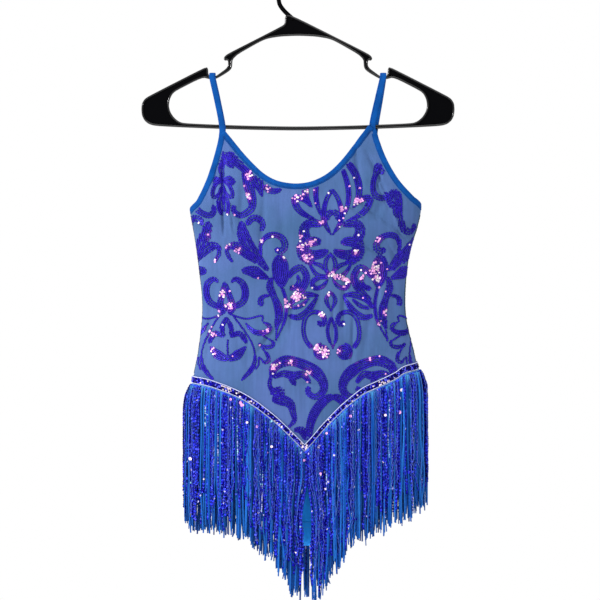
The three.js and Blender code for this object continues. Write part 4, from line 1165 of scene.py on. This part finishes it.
# String sequin radius; the glint patches, painted as glints: their sequins' radius, share of strings and
# reach along them.
STRING_RADIUS, EDGE_GLINT_RADIUS = (1.45, 1.85), 0.9
EDGE_GLINT_SHARE, EDGE_GLINT_REACH = 0.20, (0.08, 0.3)
STRAND_ENDS = (-7, 20)  # below and above the hem line
END_SHIFT, END_SPREAD, CLUMP_SPREAD = 3, 4, 6
THREAD_EVERY, THREAD_RADIUS, THREAD_ZIGZAG, THREAD_AHEAD = 3, 0.3, 0.5, 1.9
BIG_GLINTS, BIG_RADIUS, BIG_SIDES, BIG_LIFT = 18, (1.5, 2.4), 12, 2.2
LOOP = {"start": 0.88, "width": 4, "height": 6}
FLARE, FLARE_RATE = 6, 12
WANDER, DRIFT, DEPTH_SWAY = 0.7, 0.9, 0.5
PULL_POWER = 3.6  # how late in its length a strand joins its clump
WILD_SHARE, WILD_REACH = 0.28, (1.0, 2.6)
WILD_MIDDLE = 60  # half width of the place where more strands stray


def sequin_zone(run):
    """Above 0 where strings with sequins hang in front, along the tape."""
    return 0.6 * np.sin(run * 0.115 + 1.0) + 0.9 * np.sin(run * 0.31 + 2.2) + 0.6 * np.sin(run * 0.52)


def fringe_roots(side, count, zone):
    """Roots spread along the tape, closer together in one kind of zone: place, outward way and run."""
    points, normals = off_tube(lowered(seam_line(side, 200), HEADER_TOP + ROOT_DROP), ROOT_LIFT)
    run = distance_along(points[:, :2])
    fine = np.linspace(0, run[-1], ROOT_SAMPLES)
    weight = np.cumsum(1 + 0.7 * np.tanh(1.2 * zone * sequin_zone(fine)))
    share = (np.arange(count) + rng.uniform(0.1, 0.9, count)) / count
    at = np.interp(share * weight[-1], weight, fine)
    place, out = [np.stack([np.interp(at, run, column) for column in rows.T], 1)
                  for rows in (points, normals)]
    out[:, 2] = 0
    return place, unit(out), at


CLUMP_EDGES = np.cumsum(rng.uniform(4, 12, 80))
CLUMP_ENDS = rng.normal(0, 1, 81)
CLUMP_PULL = rng.uniform(0.55, 0.97, 81)


def strand_routes(side, count, zone, layer, rings, shorter):
    """Middle lines of hanging strands (count x rings x 3), their way out and their way along the tape."""
    root, out, run = fringe_roots(side, count, zone)
    clump = np.searchsorted(CLUMP_EDGES, run)
    ends = CLUMP_ENDS[clump] * CLUMP_SPREAD + rng.normal(0, END_SPREAD, count)
    end = read(HEM, 0, 1, root[:, 0]) + np.clip(ends + END_SHIFT, *STRAND_ENDS) + shorter
    t = np.linspace(0, 1, rings)[None, :]
    middle = (np.append(CLUMP_EDGES, CLUMP_EDGES[-1])[clump] + np.append(0, CLUMP_EDGES)[clump]) / 2
    pull = (middle - run) * CLUMP_PULL[clump]
    along = np.stack([-out[:, 1], out[:, 0], np.zeros(count)], 1)
    along = along * np.sign(along[:, :1]) * side
    stand = FLARE * (1 - np.exp(-t * FLARE_RATE)) * (0.35 + 0.65 * np.abs(out[:, :1]))
    stand = stand + layer[:, None] * (0.4 + 0.6 * np.minimum(t * 6, 1))
    phase, speed = rng.uniform(0, 6.3, (count, 1)), rng.uniform(4, 9, (count, 1))
    wander = rng.normal(0, WANDER, (count, 1)) * np.sin(phase + speed * t) * np.minimum(t * 3, 1)
    wander = wander + pull[:, None] * t ** PULL_POWER + rng.normal(0, DRIFT, (count, 1)) * t ** 2
    centred = np.exp(-(((root[:, :1] - PARTING["middle"]) / WILD_MIDDLE) ** 2))
    wild = rng.uniform(0, 1, (count, 1)) < WILD_SHARE * (1 + zone) * (1 + centred)
    wild = wild * rng.uniform(*WILD_REACH, (count, 1)) * (1 + 0.8 * centred)
    wander = wander + wild * np.sin(phase * 3 + (speed * 2 + 3) * t) * t ** 1.3
    depth = rng.normal(0, DEPTH_SWAY, (count, 1)) * np.sin(phase * 2 + speed * 0.8 * t)
    routes = root[:, None] + out[:, None] * (stand + depth)[..., None] + along[:, None] * wander[..., None]
    routes[..., 2] = root[:, 2:3] + (end - root[:, 2])[:, None] * t
    return (parted(routes) if side > 0 else bunched(routes)), out, along


def parted(routes):
    """Strands drawn aside low down in the middle, where the gusset shows between them."""
    away = routes[..., 0] - PARTING["middle"]
    size = np.abs(away)
    opened = np.clip((PARTING["top"] - routes[..., 2]) / PARTING["run"], 0, 1)
    share = 0.4 + 0.6 * np.abs(np.sin(np.arange(len(routes)) * 2.4))[:, None]
    opened = PARTING["half"] * opened * opened * (3 - 2 * opened) * share
    moved = opened + size * (1 - opened / PARTING["reach"])
    sign = np.where(away[:, :1] < 0, -1, 1)
    routes[..., 0] = np.where(size < PARTING["reach"], PARTING["middle"] + sign * moved, routes[..., 0])
    return routes


def bunched(routes):
    """Strands of the back drawn together in the middle."""
    away = routes[..., 0] - BUNCH["middle"]
    near = np.clip((PARTING["top"] - routes[..., 2]) / PARTING["run"], 0, 1)
    inside = np.abs(away[:, -1:]) < BUNCH["reach"]
    routes[..., 0] -= np.where(inside, away * near * (1 - BUNCH["half"] / BUNCH["reach"]), 0)
    return routes


def level_tubes(routes, radius, corners):
    """Tubes with level rings round hanging routes."""
    ring = np.hstack([circle(corners), np.zeros((corners, 1))])
    verts = routes[:, :, None] + ring * radius[..., None, None]
    index = np.arange(routes.shape[0] * routes.shape[1] * corners).reshape(*routes.shape[:2], corners)
    here, there = index[:, :-1], index[:, 1:]
    quads = np.stack([here, there, np.roll(there, -1, 2), np.roll(here, -1, 2)], -1).reshape(-1, 4)
    return verts.reshape(-1, 3), [quads, np.concatenate([index[:, 0], index[:, -1][:, ::-1]])]


def add_chainette(side, word):
    """Satin cords, in layers whose inner ones are painted darker as painted shade, with painted light and
    shade in bands and painted teal highlights at the top.
    """
    layer = rng.choice(CHAINETTE_LAYERS, CHAINETTES)
    routes, _, _ = strand_routes(side, CHAINETTES, -0.6, layer, CHAINETTE_RINGS, 0)
    t = np.linspace(0, 1, CHAINETTE_RINGS)[None, :]
    radius = rng.uniform(*CHAINETTE_RADIUS, (CHAINETTES, 1)) * (1 - 0.15 * t ** 6)
    root = routes[:, 0, 0]
    # Painted light and shade: the satin is lighter and darker in bands along the tape, for lit bunches and
    # shadow lines between them.
    shade = 0.45 + 0.25 * np.sin(root * 0.55 + 1) + 0.22 * np.sin(root * 1.31 + 2)
    shade = np.clip(shade + rng.normal(0, 0.22, CHAINETTES), 0, 1)[:, None, None]
    # Painted shade: the inner layers are darkened towards the dark satin.
    inner = (1 - layer / CHAINETTE_LAYERS[-1])[:, None, None] * 0.85
    tint = (SATIN * (1 - shade) + SATIN_LIT * shade) * (1 - inner) + SATIN_SHADED * inner
    # Painted highlight: the top of each cord is tinted teal.
    top = np.clip(1 - t * 14, 0, 1)[..., None] * rng.uniform(0.2, 0.9, (CHAINETTES, 1, 1))
    tint = (tint * (1 - top) + TEAL_HIGHLIGHT * top).repeat(CHAINETTE_CORNERS, axis=1)
    add_piece("chainette_" + word, level_tubes(routes, radius, CHAINETTE_CORNERS), [CHAINETTE],
              "fringe_strings", "fringe_" + word, colours=tint.reshape(-1, 3))


def string_tints(layer, glint_patch):
    """Colours of the strings' sequins: painted highlight and painted shade in turn along the twist, darker on
    the inner layers as painted shade, and painted glints where they catch the light.
    """
    count = len(glint_patch)
    # Painted light and shade: every third ring is painted lighter, for sequins that the twist turns to the
    # light.
    beat = np.tile(np.arange(STRING_RINGS) % 3 == 0, STRINGS)[:, None] * 0.52
    own = rng.uniform(0.0, 0.3, (STRINGS, 1)).repeat(STRING_RINGS, axis=0)
    level = own + beat + rng.uniform(0, 0.4, (count, 1))
    # Painted shade: strings on the inner layers are darker.
    depth = (layer / STRING_LAYERS[-1]).repeat(STRING_RINGS)[:, None]
    tint = np.where(level < 0.38, MIDNIGHT * 2, np.where(level < 0.8, ROYAL, ROYAL_LIT))
    tint = tint * (0.4 + 0.6 * depth)
    # Painted glints: rings in the glint patches, and a few stray rings, are painted lilac or green, and a few
    # others pale.
    light = glint_patch & (rng.uniform(0, 1, count) < 0.6)
    light |= rng.uniform(0, 1, count) < 0.003
    tint[light] = np.where(rng.uniform(0, 1, (light.sum(), 1)) < 0.8, GLINT_LILAC, GLINT_GREEN)
    tint[rng.uniform(0, 1, count) < 0.002] = GLINT_PALE
    return tint


def add_threads(routes, out, along, word):
    """Zigzag threads that hold the sequins, in front of them on some strings."""
    ahead = (np.sin(np.arange(STRINGS) * 3.3) > 0.62) * THREAD_AHEAD
    lines = routes[:, ::THREAD_EVERY] + out[:, None] * ahead[:, None, None]
    zigzag = np.where(np.arange(lines.shape[1]) % 2 == 0, THREAD_ZIGZAG, -THREAD_ZIGZAG)
    lines = lines + along[:, None] * zigzag[:, None]
    shape = level_tubes(lines, np.full(lines.shape[:2], THREAD_RADIUS), 3)
    add_piece("string_cores_" + word, shape, [STRING_THREAD], "fringe_strings")


def add_loose_sequins(routes, out, word):
    """A few large dished sequins that hang in front, painted pale and pink as painted glints."""
    chosen = rng.choice(STRINGS, BIG_GLINTS, replace=False)
    ring = (rng.beta(1.0, 3.6, BIG_GLINTS) * STRING_RINGS * 0.9).astype(int) + 2
    facing = unit(out[chosen] + rng.normal(0, 0.2, (BIG_GLINTS, 3)))
    size = rng.uniform(*BIG_RADIUS, BIG_GLINTS)
    shape = discs(routes[chosen, ring] + out[chosen] * BIG_LIFT, facing, size, BIG_SIDES, dish=0.8)
    tint = np.where(rng.uniform(0, 1, (BIG_GLINTS, 1)) < 0.6, GLINT_PALE, GLINT_PINK)
    add_piece("loose_sequins_" + word, shape, [STRING], "fringe_strings", smooth=False,
              colours=tint.repeat(BIG_SIDES + 1, axis=0))


def looped(routes, along):
    """Gives a few strings an end that turns up in a loop."""
    curls = np.sin(np.arange(len(routes)) * 7.77) > 0.9
    t = np.linspace(0, 1, routes.shape[1])[None, :]
    turn = np.clip((t - LOOP["start"]) / (1 - LOOP["start"]), 0, 1) * 1.5 * np.pi * curls[:, None]
    way = np.where(np.arange(len(routes)) % 2 == 0, 1, -1)[:, None]
    routes += along[:, None] * (LOOP["width"] * way * np.sin(turn))[..., None]
    routes[..., 2] += LOOP["height"] * (1 - np.cos(turn))
    return routes


def add_strings(side, word):
    """Twisted strings of sequins with their threads and a few large sequins."""
    rings = STRING_RINGS
    layer = rng.choice(STRING_LAYERS, STRINGS, p=LAYER_SHARES)
    shorter = rng.choice(STRING_SHORTER, STRINGS, p=SHORTER_SHARES) + rng.uniform(-6, 6, STRINGS)
    routes, out, along = strand_routes(side, STRINGS, 1.0, layer, rings, shorter)
    routes = looped(routes, along)
    twist = rng.uniform(0, 6.3, (STRINGS, 1)) + rng.uniform(*STRING_TWIST, (STRINGS, 1)) * np.arange(rings)
    twist = 0.8 * np.sin(twist) + np.where(np.arange(rings) % 2 == 0, 0.35, -0.35)
    face = np.cos(twist)[..., None] * out[:, None] + np.sin(twist)[..., None] * along[:, None]
    face[..., 2] += 0.3 + rng.normal(0, 0.12, (STRINGS, rings))
    # Painted glints: patches of some strings get smaller sequins painted as glints.
    chosen = rng.uniform(0, 1, (STRINGS, 1)) < EDGE_GLINT_SHARE
    from_patch = np.abs(np.linspace(0, 1, rings)[None, :] - rng.uniform(0.1, 0.8, (STRINGS, 1)))
    glint_patch = (chosen & (from_patch < rng.uniform(*EDGE_GLINT_REACH, (STRINGS, 1)))).ravel()
    size = rng.uniform(0.85, 1.1, STRINGS).repeat(rings) * rng.uniform(*STRING_RADIUS, len(glint_patch))
    size = np.where(glint_patch, EDGE_GLINT_RADIUS, size)
    shape = discs(routes.reshape(-1, 3), unit(face).reshape(-1, 3), size)
    tint = string_tints(layer, glint_patch)
    add_piece("sequin_strings_" + word, shape, [STRING], "fringe_strings", smooth=False,
              colours=tint.repeat(SEQUIN_SIDES, axis=0))
    add_threads(routes, out, along, word)
    add_loose_sequins(routes, out, word)


def add_fringe(side, word):
    seam = lowered(seam_line(side, BRAID_STEPS), HEADER_TOP)
    drops = np.linspace(0, HEADER_WIDTH, 4)
    faces = [np.stack([off_tube(lowered(seam, drop), lift)[0] for drop in drops]) for lift in HEADER_LIFTS]
    add_piece("fringe_tape_" + word, wall_mesh(*faces), [HEADER], "fringe_strings")
    add_chainette(side, word)
    add_strings(side, word)


# Hanger.

HANGER_HALF_THICK = 3.2
RIM = 1.5
WEB_HALF_THICK = 1.5
WEB_EDGE, WEB_BEVEL = 0.8, 0.3
HOOK_STEPS = 90
HOOK_TIP = (0.97, 0.88, 0.7, 0.4)
HOOK_CORNERS = 20
HANGER_NECK = [(-20.9, -70.4), (-17.8, -67.7), (-17.5, -57.6), (-12, -54.5)]
HANGER_OUTER = [(56, -88.5), (94, -107.8), (98.5, -111.5), (99.8, -115), (97.8, -117.6), (93.8, -116.8),
                (93.8, -126), (108, -136.4), (110.5, -138), (118.8, -138), (120.1, -134.5), (120.2, -129),
                (121.6, -126.3), (124, -125.8), (198.7, -163.9), (205.5, -168.4), (209.3, -174.5),
                (210, -182), (209.3, -190.5), (206, -197.5), (200.3, -202.3), (191.9, -204.9),
                (153.4, -207), (80, -209.7)]
HANGER_FOOT = (0, -211.2)
HANGER_HOLE = [(0, -205.6), (60, -204.6), (105.9, -203.1), (153.4, -201), (160.5, -198.2), (166.5, -193),
               (171, -186), (173, -178), (171.8, -169.5), (168.5, -162.5), (163.7, -157.9), (128, -139.7),
               (118.5, -142.4), (110, -142.4), (93.2, -132.4), (88.2, -127.2), (87.4, -112.8),
               (50.9, -91.9), (40.6, -87.8), (23.6, -85), (0, -84)]
HOOK_RADIUS = 26
HOOK_WIRE = 2.95
HOOK_FOOT = [(-6, -62), (-12.8, -56), (-18.9, -50), (-24.2, -42.5)]
HOOK_END = -28  # degrees round the bend


def hanger_loops():
    """The hanger's outline, and the edge of its opening."""
    right, half = np.array(HANGER_OUTER, float), np.array(HANGER_HOLE, float)
    outer = np.vstack([HANGER_NECK, right, [HANGER_FOOT], (right * (-1, 1))[::-1]])
    return outer, np.vstack([half, (half[1:-1] * (-1, 1))[::-1]])


def softened(loop):
    """A closed loop with its corners cut off twice."""
    for _ in range(2):
        after = np.roll(loop, -1, 0)
        loop = np.stack([loop * 0.8 + after * 0.2, loop * 0.2 + after * 0.8], 1).reshape(-1, 2)
    return loop


def wound(loop, way):
    """A closed loop that runs round to the left where way is 1."""
    x, y = loop.T
    twice_area = np.sum(x * np.roll(y, -1) - np.roll(x, -1) * y)
    return loop if twice_area * way > 0 else loop[::-1]


def inset(loop, distance):
    """A closed loop moved to its left by a distance."""
    along = unit(np.roll(loop, -1, 0) - np.roll(loop, 1, 0))
    return loop + np.stack([-along[:, 1], along[:, 0]], 1) * distance


def curve_mesh(loops, extrude, bevel, flat):
    """Points and faces of closed outlines in the hanger's plane, filled if flat, or else as round wires."""
    curve = bpy.data.curves.new("outline", "CURVE")
    curve.dimensions = "2D" if flat else "3D"
    if flat:
        curve.fill_mode = "BOTH"
    curve.extrude = extrude * MM
    curve.bevel_depth = bevel * MM
    curve.bevel_resolution = 3
    curve.use_fill_caps = True
    for loop in loops:
        spline = curve.splines.new("POLY")
        spline.points.add(len(loop) - 1)
        corners = np.hstack([loop * MM, np.zeros((len(loop), 1)), np.ones((len(loop), 1))])
        spline.points.foreach_set("co", corners.ravel())
        spline.use_cyclic_u = True
        spline.use_smooth = True
    shape = bpy.data.objects.new("outline", curve)
    bpy.context.scene.collection.objects.link(shape)
    depsgraph = bpy.context.evaluated_depsgraph_get()
    mesh = bpy.data.meshes.new_from_object(shape.evaluated_get(depsgraph))
    bpy.data.objects.remove(shape)
    verts = np.empty(len(mesh.vertices) * 3)
    mesh.vertices.foreach_get("co", verts)
    groups = {}
    for polygon in mesh.polygons:
        groups.setdefault(len(polygon.vertices), []).append(list(polygon.vertices)[::-1])
    bpy.data.meshes.remove(mesh)
    return verts.reshape(-1, 3)[:, [0, 2, 1]] / MM, [np.array(g) for g in groups.values()]


def add_hanger():
    """A thin web between round rims, with a wire hook."""
    outer, hole = [wound(softened(loop), way) for loop, way in zip(hanger_loops(), (1, -1))]
    edges = [inset(outer, WEB_EDGE), inset(hole, WEB_EDGE)]
    web = curve_mesh(edges, WEB_HALF_THICK - WEB_BEVEL, WEB_BEVEL, True)
    rims = curve_mesh([inset(outer, RIM), inset(hole, RIM)], 0, RIM, False)
    rims[0][:, 1] *= HANGER_HALF_THICK / RIM
    centre = -HOOK_RADIUS + HOOK_WIRE
    a = np.radians(np.arange(180, HOOK_END - 1, -8))
    arc = np.stack([HOOK_RADIUS * np.cos(a), centre + HOOK_RADIUS * np.sin(a)], 1)
    route = smooth_line(np.vstack([HOOK_FOOT, [(-HOOK_RADIUS, centre - 11)], arc]), HOOK_STEPS)
    points = np.stack([route[:, 0], 0 * route[:, 0], route[:, 1]], 1)
    taper = np.append(np.ones(len(points) - len(HOOK_TIP)), HOOK_TIP)
    ring = circle(HOOK_CORNERS)[None] * HOOK_WIRE * taper[:, None, None]
    hook = sweep(points, np.broadcast_to([0.0, -1.0, 0.0], points.shape), ring, False)
    verts, faces = join([web, rims, hook])
    first, after = len(web[0]), len(web[0]) + len(rims[0])
    rim_faces = np.concatenate([(g[:, 0] >= first) & (g[:, 0] < after) for g in faces])
    add_piece("hanger_moulding", (verts, faces), [PLASTIC, PLASTIC_RIM], "black_plastic", "hanger",
              slots=rim_faces)


# Cloth.

PANEL_CLEAR = 0.5
ARM_STEPS, NECK_STEPS, PANEL_ROWS = 60, 100, 120
LEG_STEPS, HEM_STEPS, BRIEF_ROWS = 40, 46, 46

def add_suit():
    """The cloth of both sides with what is sewn on it."""
    for side, word in SIDES:
        top = upper_edge(side, PANEL_CLEAR, ARM_STEPS, NECK_STEPS)
        seam = seam_line(side, len(top) // 2)
        cloth_panel(word, top, seam, PANEL_ROWS, MESH_CLOTH, "sequinned_mesh", word + "_panel")
        low = lower_edge(side, PANEL_CLEAR, LEG_STEPS, HEM_STEPS)
        seam = seam_line(side, len(low) // 2)
        cloth_panel(word + "_brief", seam, low, BRIEF_ROWS, PLAIN_KNIT, "plain_knit", word + "_brief")
        scroll_sequins(side, word)
        add_braid(side, word)
        add_fringe(side, word)


add_hanger()
add_suit()
add_bindings()
add_side_seams()
add_gusset()


# Stage, lights and camera.

FLOOR_HEIGHT = -1150.0

def add_floor():
    """A round pale floor, out of the front view."""
    material, tree, shader = new_material("floor_paper", (0.9, 0.9, 0.9), 0.9)
    feed(shader, Base_Color=mottled(tree, (0.88, 0.88, 0.88), (0.92, 0.92, 0.92), 3.0))
    rim = np.hstack([circle(96) * 2500, np.full((96, 1), FLOOR_HEIGHT)])
    verts = np.vstack([rim, rim * (0.5, 0.5, 1)])
    k = np.arange(96)
    ring = np.stack([k, (k + 1) % 96, (k + 1) % 96 + 96, k + 96], 1)
    make_object("floor", (verts, [ring, k[None, :] + 96]), [material])


def add_light(name, place, target, size, watts, colour=(1, 1, 1)):
    data = bpy.data.lights.new(name, "AREA")
    data.shape = "DISK"
    data.size = size
    data.energy = watts
    data.color = colour
    light = bpy.data.objects.new(name, data)
    light.location = place
    direction = np.array(target) - np.array(place)
    yaw = math.atan2(direction[1], direction[0]) - math.pi / 2
    pitch = math.atan2(direction[2], math.hypot(direction[0], direction[1])) + math.pi / 2
    light.rotation_euler = (pitch, 0, yaw)
    light.visible_camera = False
    bpy.context.scene.collection.objects.link(light)


CAMERA_AWAY = 4.5
FRAME_WIDTH = 0.804
SENSOR = 36.0

add_floor()
add_light("key", (-2.3, -1.2, 0.5), (0, 0, -0.45), 0.35, 88)
add_light("top", (0.3, -0.7, 1.3), (0, 0, -0.3), 1.4, 22)

world = bpy.data.worlds.new("soft_white")
world.use_nodes = True
world.node_tree.nodes["Background"].inputs["Color"].default_value = (1, 1, 1, 1)
world.node_tree.nodes["Background"].inputs["Strength"].default_value = 1.0
bpy.context.scene.world = world
bpy.context.scene.view_settings.view_transform = "Standard"

camera_data = bpy.data.cameras.new("camera")
camera_data.sensor_width = SENSOR
camera_data.lens = SENSOR * CAMERA_AWAY / FRAME_WIDTH
camera = bpy.data.objects.new("camera", camera_data)
camera.location = (0.0027, -CAMERA_AWAY, -0.438)
camera.rotation_euler = (math.pi / 2, 0, 0)
bpy.context.scene.collection.objects.link(camera)
bpy.context.scene.camera = camera
